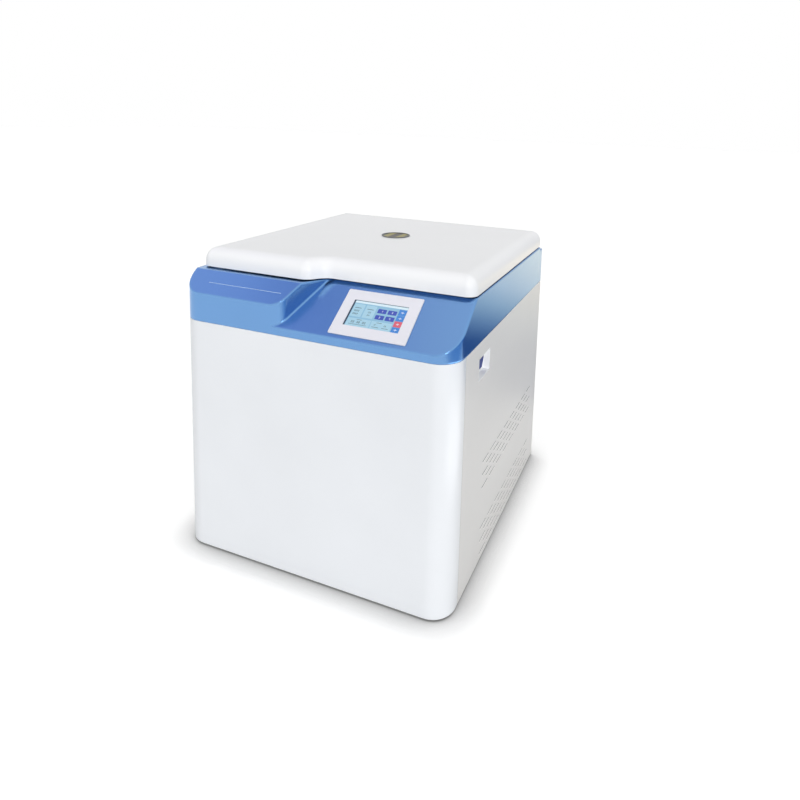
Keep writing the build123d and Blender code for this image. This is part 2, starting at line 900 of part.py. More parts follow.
def chamber_gasket():
    """Rubber ring over the joint between the bowl's flange and the deck."""
    z1 = liner_bottom - gasket_squeeze_gap
    ring = rod(deck_opening + gasket_width / 2, deck_z, z1, 0, chamber_y)
    ring -= rod(deck_opening - gasket_width / 2, deck_z - 1, z1 + 1, 0, chamber_y)
    return fillet(ring.edges().group_by(Axis.Z)[-1], gasket_edge_radius)


def lid_plan(inset=0.0):
    """The lid seen from above, moved in by inset, with the curved step in its front edge."""
    x1 = half_width - lid_side_inset
    left_y = front_y + lid_left_from_front
    right_y = front_y + lid_right_from_front
    back_y = rear_y - lid_rear_inset
    angle = math.radians(lid_step_angle)
    start = Vector(lid_step_start_x, left_y)
    rise = lid_step_radius * (1 - math.cos(angle))
    bend = Vector(start.X + lid_step_radius * math.sin(angle), left_y + rise)
    run = (right_y - left_y - 2 * rise) / math.sin(angle)
    turn = Vector(bend.X + run * math.cos(angle), bend.Y + run * math.sin(angle))
    end = Vector(turn.X + lid_step_radius * math.sin(angle), right_y)
    outline = [
        Line((-x1 + lid_front_corner, left_y), start),
        JernArc(start, (1, 0), lid_step_radius, lid_step_angle),
        Line(bend, turn),
        JernArc(turn, (math.cos(angle), math.sin(angle)), lid_step_radius, -lid_step_angle),
        Line(end, (x1 - lid_front_corner, right_y)),
        JernArc((x1 - lid_front_corner, right_y), (1, 0), lid_front_corner, 90),
        Line((x1, right_y + lid_front_corner), (x1, back_y - lid_rear_corner)),
        JernArc((x1, back_y - lid_rear_corner), (0, 1), lid_rear_corner, 90),
        Line((x1 - lid_rear_corner, back_y), (-x1 + lid_rear_corner, back_y)),
        JernArc((-x1 + lid_rear_corner, back_y), (-1, 0), lid_rear_corner, 90),
        Line((-x1, back_y - lid_rear_corner), (-x1, left_y + lid_front_corner)),
        JernArc((-x1, left_y + lid_front_corner), (0, -1), lid_front_corner, 90),
    ]
    face = make_face(Curve() + outline)
    if inset:
        face = offset(face, amount=-inset, kind=Kind.ARC)
    return face


def hinge_notch(z1):
    """The room at each hinge, open at the lid's rear edge."""
    notches = []
    for x in (-hinge_x, hinge_x):
        low = x - hinge_notch_half_width
        high = x + hinge_notch_half_width
        notches.append(block(low, high, hinge_leaf_rear, rear_y + 1, lid_bottom - 1, z1))
    return notches


def lid_shell():
    """White moulded lid: top and side walls, with notches for the hinges and the sight port's hole."""
    shell = prism(lid_plan(), lid_bottom, lid_top)
    shell = fillet(shell.edges().group_by(Axis.Z)[-1], lid_edge_radius)
    inner = prism(lid_plan(lid_wall), lid_bottom - 1, lid_top - lid_wall)
    inner = fillet(inner.edges().group_by(Axis.Z)[-1], lid_edge_radius - lid_wall)
    shell -= inner
    shell -= hinge_notch(hinge_z + hinge_knuckle_radius + hinge_notch_headroom)
    return shell - rod(sight_hole_radius, lid_top - lid_wall - 1, lid_top + 1, 0, chamber_y)


def lid_insulation():
    """Foam core between the lid's shell and its liner."""
    core = prism(lid_plan(lid_edge_radius), liner_top, lid_top - lid_wall)
    core -= hinge_notch(lid_top)
    leaf_top = liner_top + hinge_leaf_sheet + hinge_leaf_cover
    leaf_front = hinge_leaf_rear - hinge_leaf_length
    for x in (-hinge_x, hinge_x):
        low = x - hinge_notch_half_width
        high = x + hinge_notch_half_width
        core -= block(low, high, leaf_front, rear_y, liner_top - 1, leaf_top)
    return core - rod(sight_hole_radius, liner_top - 1, lid_top, 0, chamber_y)


def lid_liner():
    """Steel underside of the lid, which closes on the chamber's gasket."""
    plate = prism(lid_plan(lid_wall + liner_fit), liner_bottom, liner_top)
    plate -= hinge_notch(lid_top)
    return plate - rod(sight_bore, liner_bottom - 1, liner_top + 1, 0, chamber_y)


def sight_ring():
    """Ring of the sight port: a flange on the lid and a sleeve down to the liner."""
    top = lid_top + sight_ring_stand
    ring = rod(sight_ring_radius, lid_top, top, 0, chamber_y)
    ring += rod(sight_hole_radius - deck_fit, liner_top, lid_top, 0, chamber_y)
    ring -= rod(sight_bore, liner_bottom, top + 1, 0, chamber_y)
    return ring - rod(sight_bore + sight_glass_seat, lid_top - sight_glass_thickness, top + 1, 0, chamber_y)


def sight_glass():
    """Round window seated in the sight port's ring."""
    return rod(sight_bore + sight_glass_seat, lid_top - sight_glass_thickness, lid_top, 0, chamber_y)


def hinge_brackets():
    """Fixed halves of the hinges: a base on the collar's ledge with two ears each."""
    brackets = []
    inner = hinge_arm_width / 2 + hinge_side_gap
    ear_front = hinge_y - hinge_knuckle_radius
    ear_rear = hinge_y + hinge_knuckle_radius
    base_rear = ear_rear + hinge_base_overhang
    base_top = ledge_z + hinge_leaf_sheet
    for x in (-hinge_x, hinge_x):
        low = x - hinge_leaf_half_width
        high = x + hinge_leaf_half_width
        base = block(low, high, hinge_leaf_rear, base_rear, ledge_z, base_top)
        for side in (-1, 1):
            near = x + side * inner
            far = x + side * (inner + hinge_ear_width)
            x0, x1 = sorted((near, far))
            base += rod_x(hinge_knuckle_radius, x0, x1, hinge_y, hinge_z)
            base += block(x0, x1, ear_front, ear_rear, ledge_z, hinge_z)
        base -= rod_x(hinge_pin_radius, x - hinge_x, x + hinge_x, hinge_y, hinge_z)
        brackets.append(base)
    return Compound(children=brackets)


def hinge_arms():
    """Moving halves of the hinges: a leaf on the liner and a barrel on the pin."""
    arms = []
    half = hinge_arm_width / 2
    leaf_front = hinge_leaf_rear - hinge_leaf_length + hinge_notch_clearance
    leaf_top = liner_top + hinge_leaf_sheet
    for x in (-hinge_x, hinge_x):
        low = x - hinge_leaf_half_width
        high = x + hinge_leaf_half_width
        arm = block(low, high, leaf_front, hinge_leaf_rear, liner_top, leaf_top)
        arm += block(x - half, x + half, hinge_leaf_rear - 1, hinge_y, liner_top, leaf_top)
        arm += rod_x(hinge_knuckle_radius, x - half, x + half, hinge_y, hinge_z)
        arm -= rod_x(hinge_pin_radius + hinge_running_gap, x - half - 1, x + half + 1, hinge_y, hinge_z)
        arms.append(arm)
    return Compound(children=arms)


def pin_reach():
    """Half the length of a hinge pin, which carries a spring outside each ear on one side."""
    return hinge_arm_width / 2 + hinge_side_gap + hinge_ear_width


def hinge_pins():
    """Steel pins through the ears and the barrels, long enough for the springs."""
    pins = []
    length = spring_turns * spring_pitch + hinge_pin_overrun
    for x, side in ((-hinge_x, -1), (hinge_x, 1)):
        x0, x1 = sorted((x - side * pin_reach(), x + side * (pin_reach() + length)))
        pins.append(rod_x(hinge_pin_radius, x0, x1, hinge_y, hinge_z))
    return Compound(children=pins)


def hinge_springs():
    """Torsion springs on the outer ends of the hinge pins, whose turns just bite into each other."""
    springs = []
    major = hinge_pin_radius + spring_wire_radius + spring_pin_gap
    for x, side in ((-hinge_x, -1), (hinge_x, 1)):
        coil = None
        for i in range(spring_turns):
            turn_x = x + side * (pin_reach() + spring_wire_radius + i * spring_pitch)
            ring = Pos(turn_x, hinge_y, hinge_z) * Rot(0, 90, 0) * Torus(major, spring_wire_radius)
            coil = ring if coil is None else coil + ring
        springs.append(coil)
    return Compound(children=springs)


def striker_slot(z0):
    """Clear space round the striker, from a height up through the deck."""
    half_x = striker_sheet / 2 + lock_slot_clearance
    half_y = striker_width / 2 + lock_slot_clearance
    return block(lock_x - half_x, lock_x + half_x, lock_y - half_y, lock_y + half_y, z0, lid_top)


def striker_foot():
    """Lowest height of the lid's striker."""
    return liner_bottom - striker_length


def lid_striker():
    """Plate with a window that drops through the deck into the lock."""
    y = lock_y
    z0 = striker_foot()
    half_x = striker_sheet / 2
    half_y = striker_width / 2
    plate = block(lock_x - half_x, lock_x + half_x, y - half_y, y + half_y, z0, liner_bottom)
    low = lock_x - striker_base_half
    high = lock_x + striker_base_half
    base_y = half_y + striker_base_margin
    plate += block(low, high, y - base_y, y + base_y, liner_bottom - striker_base_sheet, liner_bottom)
    half_window = striker_window_width / 2
    sill = z0 + striker_sill
    window_top = sill + striker_window_height
    return plate - block(low, high, y - half_window, y + half_window, sill, window_top)


def bolt_start():
    """Where the drawn-back lock bolt begins: its tip, its middle line and its height."""
    z = striker_foot() + striker_sill + striker_window_height / 2
    return lock_x + striker_sheet / 2 + bolt_tip_gap, lock_y, z


def lid_lock():
    """Lock housing hung under the deck: a slot for the striker and a channel for the bolt."""
    x, y, z = bolt_start()
    x0 = x - bolt_travel - lock_end_wall - bolt_clearance
    half_box = lock_box_width / 2
    z0 = collar_underside - lock_box_height
    box = block(x0, x0 + lock_box_length, y - half_box, y + half_box, z0, collar_underside)
    box -= striker_slot(striker_foot() - lock_slot_clearance)
    half = bolt_section / 2 + bolt_clearance
    channel_start = x - bolt_travel - bolt_clearance
    channel_end = x + bolt_length + bolt_clearance
    return box - block(channel_start, channel_end, y - half, y + half, z - half, z + half)


def lock_bolt():
    """Sliding bolt of the lid lock, drawn back."""
    x, y, z = bolt_start()
    half = bolt_section / 2
    bolt = block(x, x + bolt_length, y - half, y + half, z - half, z + half)
    return chamfer(bolt.edges().group_by(Axis.X)[0], bolt_nose)


def damper_places():
    """Centres of the four rubber dampers."""
    half = damper_spacing / 2
    for x in (-half, half):
        for y in (chamber_y - half, chamber_y + half):
            yield x, y


def rubber_dampers():
    """Rubber dampers that hang the motor plate under the support plate."""
    places = damper_places()
    return Compound(children=[rod(damper_radius, damper_bottom, mid_rail_top, x, y) for x, y in places])


def motor_plate():
    """Plate that carries the motor on its dampers."""
    half = motor_plate_side / 2
    plate = block(-half, half, chamber_y - half, chamber_y + half, motor_top, damper_bottom)
    plate = fillet(plate.edges().filter_by(Axis.Z), damper_radius)
    return plate - rod(shaft_hole_radius, motor_top - 1, damper_bottom + 1, 0, chamber_y)


def motor_housing():
    """Finned motor body with a bearing seat at each end and room for the armature."""
    body = rod(motor_radius, motor_bottom, motor_top, 0, chamber_y)
    cavity_bottom = motor_bottom + motor_end_wall
    body -= rod(motor_cavity_radius, cavity_bottom, motor_top - motor_end_wall, 0, chamber_y)
    for z0 in bearing_heights():
        body -= rod(bearing_radius, z0, z0 + bearing_width, 0, chamber_y)
    shaft_room = shaft_radius + boot_shaft_gap
    body -= rod(shaft_room, motor_bottom + motor_end_wall / 2, motor_top + 1, 0, chamber_y)
    groove_length = motor_length - 2 * motor_end_wall
    groove = Pos(motor_radius, 0, (motor_bottom + motor_top) / 2)
    groove = groove * Box(2 * motor_groove_depth, motor_groove_width, groove_length)
    turns = [i * 360.0 / motor_grooves for i in range(motor_grooves)]
    return body - [Pos(0, chamber_y, 0) * Rot(0, 0, turn) * groove for turn in turns]


def bearing_heights():
    """Underside of each motor bearing."""
    return motor_bottom + motor_end_wall - bearing_width, motor_top - motor_end_wall


def motor_bearings():
    """Two bearings that the drive shaft runs in."""
    rings = []
    bore = shaft_radius + shaft_running_gap
    for z0 in bearing_heights():
        z1 = z0 + bearing_width
        rings.append(rod(bearing_radius, z0, z1, 0, chamber_y) - rod(bore, z0 - 1, z1 + 1, 0, chamber_y))
    return Compound(children=rings)


def drive_shaft():
    """Motor shaft with its armature, up through the chamber's floor into the rotor."""
    shaft_bottom = motor_bottom + motor_end_wall / 2 + shaft_end_gap
    shoulder = rotor_bottom - rotor_hub_drop
    shaft_tip = rotor_top + rotor_hub_rise + nut_height - nut_wall
    shaft = rod(shaft_radius, shaft_bottom, shoulder, 0, chamber_y)
    shaft += rod(shaft_top_radius, shoulder - 1, shaft_tip, 0, chamber_y)
    middle = (motor_bottom + motor_top) / 2
    half = armature_length / 2
    return shaft + rod(armature_radius, middle - half, middle + half, 0, chamber_y)


def shaft_boot():
    """Rubber boot that closes the gap between the bowl's floor and the shaft."""
    inner = shaft_radius + boot_shaft_gap
    flange_top = bowl_floor_z + boot_flange_sheet
    boot_top = bowl_floor_z + boot_height
    boot = rod(bowl_hole_radius + boot_flange_width, bowl_floor_z, flange_top, 0, chamber_y)
    boot += rod(bowl_hole_radius, bowl_floor_z - bowl_sheet, flange_top, 0, chamber_y)
    boot += rod(inner + boot_wall, bowl_floor_z, boot_top, 0, chamber_y)
    return boot - rod(inner, bowl_floor_z - bowl_sheet - 1, boot_top + 1, 0, chamber_y)


def bucket_angles():
    """Directions of the buckets round the rotor."""
    return [i * 360.0 / bucket_count for i in range(bucket_count)]


def about_rotor(angle):
    """Turns a shape drawn for the bucket that hangs along +X to another bucket's place."""
    return Pos(0, chamber_y, 0) * Rot(0, 0, angle)


def rotor_head():
    """Swing-out rotor: a disc with four slots that leave arms between the buckets."""
    disc = rod(rotor_radius, rotor_bottom, rotor_top)
    disc = chamfer(disc.edges(), rotor_edge_chamfer)
    disc += rod(rotor_hub_radius, rotor_bottom - rotor_hub_drop, rotor_top + rotor_hub_rise)
    half = rotor_slot_half_width
    slot = block(rotor_slot_inner, 2 * rotor_radius, -half, half, rotor_bottom - 1, rotor_top + 1)
    slot = fillet(slot.edges().filter_by(Axis.Z).group_by(Axis.X)[0], rotor_slot_corner)
    reach = half + bucket_pin_seat
    pin_hole = rod_y(bucket_pin_radius, -reach, reach, pin_circle_radius, pin_z)
    arm_hole = rod(arm_hole_radius, rotor_bottom - 1, rotor_top + 1, arm_hole_circle, 0)
    for angle in bucket_angles():
        disc -= Rot(0, 0, angle) * slot
        disc -= Rot(0, 0, angle) * pin_hole
        disc -= Rot(0, 0, angle + 180.0 / bucket_count) * arm_hole
    disc -= rod(shaft_top_radius, rotor_bottom - rotor_hub_drop - 1, rotor_top + rotor_hub_rise + 1)
    return Pos(0, chamber_y, 0) * disc


def bucket_pins():
    """Steel trunnion pins pressed into the rotor's arms, two for each bucket."""
    pins = []
    reach = rotor_slot_half_width + bucket_pin_seat
    tip = rotor_slot_half_width - bucket_pin_bite
    for angle in bucket_angles():
        for y0, y1 in ((-reach, -tip), (tip, reach)):
            pins.append(about_rotor(angle) * rod_y(bucket_pin_radius, y0, y1, pin_circle_radius, pin_z))
    return Compound(children=pins)


def rotor_nut():
    """Fluted nut that holds the rotor on its shaft."""
    z0 = rotor_top + rotor_hub_rise
    z1 = z0 + nut_height
    nut = chamfer(rod(nut_radius, z0, z1).edges().group_by(Axis.Z)[-1], nut_chamfer)
    flute = rod(nut_flute_radius, z0 + nut_flute_start, z1 + 1, nut_radius, 0)
    for i in range(nut_flutes):
        nut -= Rot(0, 0, i * 360.0 / nut_flutes) * flute
    nut -= rod(shaft_top_radius, z0 - 1, z1 - nut_wall)
    return Pos(0, chamber_y, 0) * nut


def bucket(angle):
    """Round swing-out bucket with a trunnion seat on each side, hanging straight down."""
    z0 = pin_z - bucket_below_pin
    z1 = pin_z + bucket_above_pin
    cup = rod(bucket_radius, z0, z1, pin_circle_radius, 0)
    cup = fillet(cup.edges().group_by(Axis.Z)[0], bucket_corner)
    boss_z0 = pin_z - boss_below_pin
    boss_z1 = pin_z + boss_above_pin
    x0 = pin_circle_radius - boss_half_width
    x1 = pin_circle_radius + boss_half_width
    cup += block(x0, x1, -boss_reach, boss_reach, boss_z0, boss_z1)
    cup -= rod(bucket_radius - bucket_wall, z0 + bucket_floor, z1 + 1, pin_circle_radius, 0)
    seat = bucket_pin_radius + bucket_running_gap
    tip = rotor_slot_half_width - bucket_pin_bite - bucket_side_gap
    for side in (-1, 1):
        y0, y1 = sorted((side * tip, side * (boss_reach + 1)))
        groove = rod_y(seat, y0, y1, pin_circle_radius, pin_z)
        groove += block(pin_circle_radius - seat, pin_circle_radius + seat, y0, y1, boss_z0 - 1, pin_z)
        cup -= groove
    return about_rotor(angle) * cup


def glass_box(thickness, top):
    """A block of the glass's width and height whose upper face is at a height over the slope."""
    place = Pos(window_offset_x, window_offset_up, top - thickness / 2)
    return place * Box(glass_width, glass_height, thickness)


def display_bezel():
    """White frame of the touch panel, with a window and a flange that seats on the slope."""
    frame = Rectangle(bezel_width, bezel_height)
    frame = fillet(frame.vertices(), bezel_corner)
    plug_width = bezel_width - module_margin - sheet_fit
    plug_height = bezel_height - module_margin - sheet_fit
    plug_depth = bezel_thickness - bezel_proud + collar_wall
    body = extrude(frame, bezel_proud) + extrude(Rectangle(plug_width, plug_height), -plug_depth)
    body -= Pos(window_offset_x, window_offset_up, 0) * Box(window_width, window_height, lid_thickness)
    return slope_frame() * (body - glass_box(lid_thickness, bezel_proud - screen_recess))


def display_screen():
    """Glass of the touch panel."""
    return slope_frame() * glass_box(screen_glass, bezel_proud - screen_recess)


def display_module():
    """Box of the touch panel's electronics, behind the glass and inside the bezel's opening."""
    return slope_frame() * glass_box(module_depth, bezel_proud - screen_recess - screen_glass)


def control_board():
    """Printed board on four standoffs under the touch panel's module."""
    top = bezel_proud - screen_recess - screen_glass - module_depth
    middle = top - board_standoff - board_thickness / 2
    board = Pos(0, 0, middle) * Box(board_width, board_height, board_thickness)
    half_x = board_width / 2 - board_standoff_inset
    half_y = board_height / 2 - board_standoff_inset
    for x in (-half_x, half_x):
        for y in (-half_y, half_y):
            board += rod(board_standoff_radius, top - board_standoff, top, x, y)
    return slope_frame() * Pos(window_offset_x, window_offset_up, 0) * board


def compressor():
    """Hermetic compressor: a domed shell on a square foot."""
    y = compressor_y
    z0 = pan_top + compressor_mount_height
    shell = rod(compressor_radius, z0, z0 + compressor_height, compressor_x, y)
    shell = fillet(shell.edges(), compressor_dome)
    half = compressor_foot_side / 2
    z1 = z0 + compressor_foot_sheet
    foot = block(compressor_x - half, compressor_x + half, y - half, y + half, z0, z1)
    foot = fillet(foot.edges().filter_by(Axis.Z), compressor_mount_radius)
    return shell + foot + rod(compressor_seat_radius, z0, z0 + compressor_seat_height, compressor_x, y)


def compressor_mounts():
    """Rubber mounts under the compressor's foot."""
    half = compressor_foot_side / 2 - compressor_mount_radius
    z1 = pan_top + compressor_mount_height
    mounts = []
    for x in (compressor_x - half, compressor_x + half):
        for y in (compressor_y - half, compressor_y + half):
            mounts.append(rod(compressor_mount_radius, pan_top, z1, x, y))
    return Compound(children=mounts)


def condenser():
    """Finned condenser block standing on the pan: fins and straight tubes."""
    y0 = condenser_y - condenser_length / 2
    y1 = condenser_y + condenser_length / 2
    fin_step = (condenser_length - condenser_fin_sheet) / (condenser_fins - 1)
    core = None
    for i in range(condenser_fins):
        y = y0 + i * fin_step
        y2 = y + condenser_fin_sheet
        fin = block(condenser_inner_x, condenser_outer_x, y, y2, pan_top, condenser_top)
        core = fin if core is None else core + fin
    over = condenser_tube_overrun
    middle_x = (condenser_inner_x + condenser_outer_x) / 2
    for i in range(condenser_tube_rows):
        z = pan_top + condenser_height * (i + 0.5) / condenser_tube_rows
        core += rod_y(condenser_tube_radius, y0 - over, y1 + over, middle_x, z)
    return core


def fan_shroud():
    """Sheet shroud that joins the fan's opening to the condenser, with a bar across for the fan motor."""
    x1 = condenser_inner_x
    x0 = x1 - shroud_depth
    half = condenser_length / 2
    y0 = condenser_y - half
    y1 = condenser_y + half
    sheet = shroud_sheet
    shroud = block(x0, x1, y0, y1, pan_top, condenser_top)
    shroud -= block(x0 + sheet, x1 + 1, y0 + sheet, y1 - sheet, pan_top + sheet, condenser_top - sheet)
    opening = fan_radius + fan_tip_clearance
    shroud -= rod_x(opening, x0 - 1, x1, condenser_y, fan_z)
    bar_half = fan_bar_width / 2
    bar_y0 = condenser_y - opening - 1
    bar_y1 = condenser_y + opening + 1
    shroud += block(x0, x0 + sheet, bar_y0, bar_y1, fan_z - bar_half, fan_z + bar_half)
    shaft_hole = fan_shaft_radius + fan_shaft_clearance
    return shroud - rod_x(shaft_hole, x0 - 1, x0 + sheet + 1, condenser_y, fan_z)


def fan_motor():
    """Fan motor outside the shroud's bar, with the bearing bore for the fan's shaft."""
    x1 = condenser_inner_x - shroud_depth
    motor = rod_x(fan_motor_radius, x1 - fan_motor_depth, x1, condenser_y, fan_z)
    motor = chamfer(motor.edges().group_by(Axis.X)[0], fan_motor_chamfer)
    bore = fan_shaft_radius + fan_shaft_running_gap
    return motor - rod_x(bore, x1 - fan_motor_depth / 2, x1 + 1, condenser_y, fan_z)


def fan_blades():
    """Fan wheel with its shaft."""
    half_hub = fan_hub_depth / 2
    wheel = rod_x(fan_hub_radius, fan_x - half_hub, fan_x + half_hub, 0, 0)
    span = fan_radius - fan_hub_radius
    blade_z = fan_hub_radius + span / 2 - fan_blade_root
    blade = Box(fan_blade_sheet, fan_blade_chord, span)
    blade = Pos(fan_x, 0, blade_z) * Rot(0, 0, fan_blade_angle) * blade
    for i in range(fan_blade_count):
        wheel += Rot(i * 360.0 / fan_blade_count, 0, 0) * blade
    wheel &= rod_x(fan_radius, fan_x - shroud_depth, fan_x + shroud_depth, 0, 0)
    bore_end = condenser_inner_x - shroud_depth - fan_motor_depth / 2
    wheel += rod_x(fan_shaft_radius, bore_end + shaft_end_gap, fan_x, 0, 0)
    return Pos(0, condenser_y, fan_z) * wheel


def pipe(points):
    """A refrigerant pipe along straight runs with bends between them."""
    path = FilletPolyline(*points, radius=pipe_bend)
    start = points[0]
    direction = (Vector(*points[1]) - Vector(*points[0])).normalized()
    return sweep(Plane(origin=start, z_dir=direction) * Circle(pipe_radius), path=path)


def liquid_line_z():
    """Height of the liquid line, which runs across from the condenser to the evaporator."""
    return condenser_top + liquid_rise


def refrigerant_pipes():
    """Discharge pipe to the condenser, liquid line through the drier, and suction pipe back."""
    over = compressor_top + discharge_rise
    port_x = (condenser_inner_x + condenser_outer_x) / 2
    out_x = compressor_x + discharge_port_x
    out_y = compressor_y + discharge_port_y
    back_y = rear_y - pipe_rear_gap
    in_y = condenser_y + condenser_length / 2 - condenser_port_inset
    discharge = pipe([
        (out_x, out_y, compressor_top),
        (out_x, out_y, over),
        (out_x, back_y, over),
        (port_x, back_y, over),
        (port_x, in_y, over),
        (port_x, in_y, condenser_top),
    ])
    (cold_x, cold_y), (warm_x, warm_y) = header_places()
    suction_y = compressor_y + suction_port_y
    suction_z = compressor_top + suction_rise
    suction = pipe([
        (cold_x, cold_y, header_foot),
        (cold_x, cold_y, suction_z),
        (cold_x, suction_y, suction_z),
        (cold_x, suction_y, compressor_top),
    ])
    line_z = liquid_line_z()
    liquid_y = condenser_y - condenser_length / 2 + liquid_port_inset
    to_drier = pipe([
        (port_x, liquid_y, condenser_top),
        (port_x, liquid_y, line_z),
        (port_x, warm_y, line_z),
        (drier_x + drier_length / 2, warm_y, line_z),
    ])
    from_drier = pipe([
        (drier_x - drier_length / 2, warm_y, line_z),
        (warm_x, warm_y, line_z),
        (warm_x, warm_y, header_foot),
    ])
    return Compound(children=[discharge, suction, to_drier, from_drier])


def filter_drier():
    """Copper can in the liquid line, between the condenser and the evaporator."""
    half = drier_length / 2
    warm_y = list(header_places())[1][1]
    can = rod_x(drier_radius, drier_x - half, drier_x + half, warm_y, liquid_line_z())
    return fillet(can.edges(), drier_end_radius)


def drive_inverter():
    """Drive electronics in a finned case standing on the pan."""
    y0 = front_y + inverter_from_front
    y1 = y0 + inverter_depth
    x0 = inverter_x - inverter_width / 2
    x1 = inverter_x + inverter_width / 2
    top = pan_top + inverter_height
    case = block(x0, x1, y0, y1, pan_top, top)
    pitch = (inverter_width - inverter_fin_sheet) / (inverter_fins - 1)
    z0 = pan_top + inverter_fin_margin
    z1 = top - inverter_fin_margin
    for i in range(inverter_fins):
        x = x0 + i * pitch
        case += block(x, x + inverter_fin_sheet, y1, y1 + inverter_fin_depth, z0, z1)
    return case


def build():
    """Every node with its solids."""
    nodes = {
        "base_pan": base_pan(),
        "foot_pads": foot_pads(),
        "foot_stems": foot_stems(),
        "frame_uprights": frame_uprights(),
        "frame_rails": frame_rails(),
        "chamber_support_plate": chamber_support_plate(),
        "front_panel": front_panel(),
        "left_side_panel": side_panel(-1),
        "right_side_panel": side_panel(1),
        "rear_panel": rear_panel(),
        "panel_screws": panel_screws(),
        "power_inlet": power_inlet(),
        "top_collar": top_collar(),
        "display_bezel": display_bezel(),
        "display_screen": display_screen(),
        "display_module": display_module(),
        "control_board": control_board(),
        "switch_recess": switch_recess(),
        "power_rocker": power_rocker(),
        "chamber_bowl": chamber_bowl(),
        "evaporator_coil": evaporator_coil(),
        "chamber_insulation": chamber_insulation(),
        "guard_ring": guard_ring(),
        "chamber_gasket": chamber_gasket(),
        "lid_shell": lid_shell(),
        "lid_insulation": lid_insulation(),
        "lid_liner": lid_liner(),
        "sight_ring": sight_ring(),
        "sight_glass": sight_glass(),
        "hinge_brackets": hinge_brackets(),
        "hinge_arms": hinge_arms(),
        "hinge_pins": hinge_pins(),
        "hinge_springs": hinge_springs(),
        "lid_striker": lid_striker(),
        "lid_lock": lid_lock(),
        "lock_bolt": lock_bolt(),
        "rubber_dampers": rubber_dampers(),
        "motor_plate": motor_plate(),
        "motor_housing": motor_housing(),
        "motor_bearings": motor_bearings(),
        "drive_shaft": drive_shaft(),
        "shaft_boot": shaft_boot(),
        "rotor_head": rotor_head(),
        "bucket_pins": bucket_pins(),
        "rotor_nut": rotor_nut(),
        "compressor": compressor(),
        "compressor_mounts": compressor_mounts(),
        "condenser": condenser(),
        "fan_shroud": fan_shroud(),
        "fan_motor": fan_motor(),
        "fan_blades": fan_blades(),
        "refrigerant_pipes": refrigerant_pipes(),
        "filter_drier": filter_drier(),
        "drive_inverter": drive_inverter(),
    }
    for i, angle in enumerate(bucket_angles()):
        nodes[f"bucket_{i + 1}"] = bucket(angle)
    return nodes


os.makedirs("parts", exist_ok=True)
for name, shape in build().items():
    export_step(shape, f"parts/{name}.step")
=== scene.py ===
import json
import math

import bmesh
import bpy
from mathutils import Matrix, Vector

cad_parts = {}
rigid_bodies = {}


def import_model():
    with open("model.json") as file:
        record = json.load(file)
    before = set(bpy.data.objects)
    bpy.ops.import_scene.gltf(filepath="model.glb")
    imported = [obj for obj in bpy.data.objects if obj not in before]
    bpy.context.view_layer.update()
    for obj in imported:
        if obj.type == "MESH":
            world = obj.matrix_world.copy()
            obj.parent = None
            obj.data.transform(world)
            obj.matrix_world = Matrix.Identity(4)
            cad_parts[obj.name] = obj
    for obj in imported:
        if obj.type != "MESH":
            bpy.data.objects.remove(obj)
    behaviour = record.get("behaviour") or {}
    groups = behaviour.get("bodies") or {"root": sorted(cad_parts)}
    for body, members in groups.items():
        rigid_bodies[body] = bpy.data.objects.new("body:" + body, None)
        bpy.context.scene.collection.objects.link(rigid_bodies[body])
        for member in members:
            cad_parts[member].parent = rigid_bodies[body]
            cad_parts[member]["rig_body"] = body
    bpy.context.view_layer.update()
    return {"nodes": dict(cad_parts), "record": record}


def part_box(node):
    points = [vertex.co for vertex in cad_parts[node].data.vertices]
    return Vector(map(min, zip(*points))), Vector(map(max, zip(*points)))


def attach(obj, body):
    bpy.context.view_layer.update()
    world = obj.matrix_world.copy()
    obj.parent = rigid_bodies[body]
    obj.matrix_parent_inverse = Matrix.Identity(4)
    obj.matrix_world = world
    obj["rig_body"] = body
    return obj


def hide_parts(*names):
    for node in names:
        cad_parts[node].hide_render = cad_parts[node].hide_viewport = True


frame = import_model()
nodes = frame["nodes"]
slots = {part["node"]: part["material_slot"] for part in frame["record"]["subparts"]}

# Sizes in metres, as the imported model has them
MM = 0.001
lid_low, lid_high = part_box("lid_shell")
collar_low, collar_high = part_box("top_collar")
ring_low, ring_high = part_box("sight_ring")
chamber_low, chamber_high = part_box("chamber_bowl")
bezel_low, bezel_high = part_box("display_bezel")

FRONT_Y = collar_low.y
HALF_WIDTH = collar_high.x
CABINET_TOP = collar_low.z
CHAMBER_Y = (chamber_low.y + chamber_high.y) / 2


# Mesh helpers
def new_object(name, bm, smooth=True):
    """An object from a bmesh, linked to the scene."""
    mesh = bpy.data.meshes.new(name)
    bm.to_mesh(mesh)
    bm.free()
    for face in mesh.polygons:
        face.use_smooth = smooth
    obj = bpy.data.objects.new(name, mesh)
    bpy.context.scene.collection.objects.link(obj)
    return obj


def apply_modifiers(obj):
    """Makes the result of an object's modifiers its mesh."""
    graph = bpy.context.evaluated_depsgraph_get()
    graph.update()
    mesh = bpy.data.meshes.new_from_object(obj.evaluated_get(graph))
    obj.modifiers.clear()
    obj.data = mesh


def sharpen(obj, degrees):
    """Smooth shading that stops at edges sharper than an angle."""
    for face in obj.data.polygons:
        face.use_smooth = True
    bm = bmesh.new()
    bm.from_mesh(obj.data)
    limit = math.radians(degrees)
    for edge in bm.edges:
        angle = edge.calc_face_angle(math.pi)
        edge.smooth = angle < limit
    bm.to_mesh(obj.data)
    bm.free()


def weighted(obj):
    """Normals that follow the large faces, so flat faces stay flat beside their rounded edges."""
    obj.modifiers.new("weights", "WEIGHTED_NORMAL").keep_sharp = True


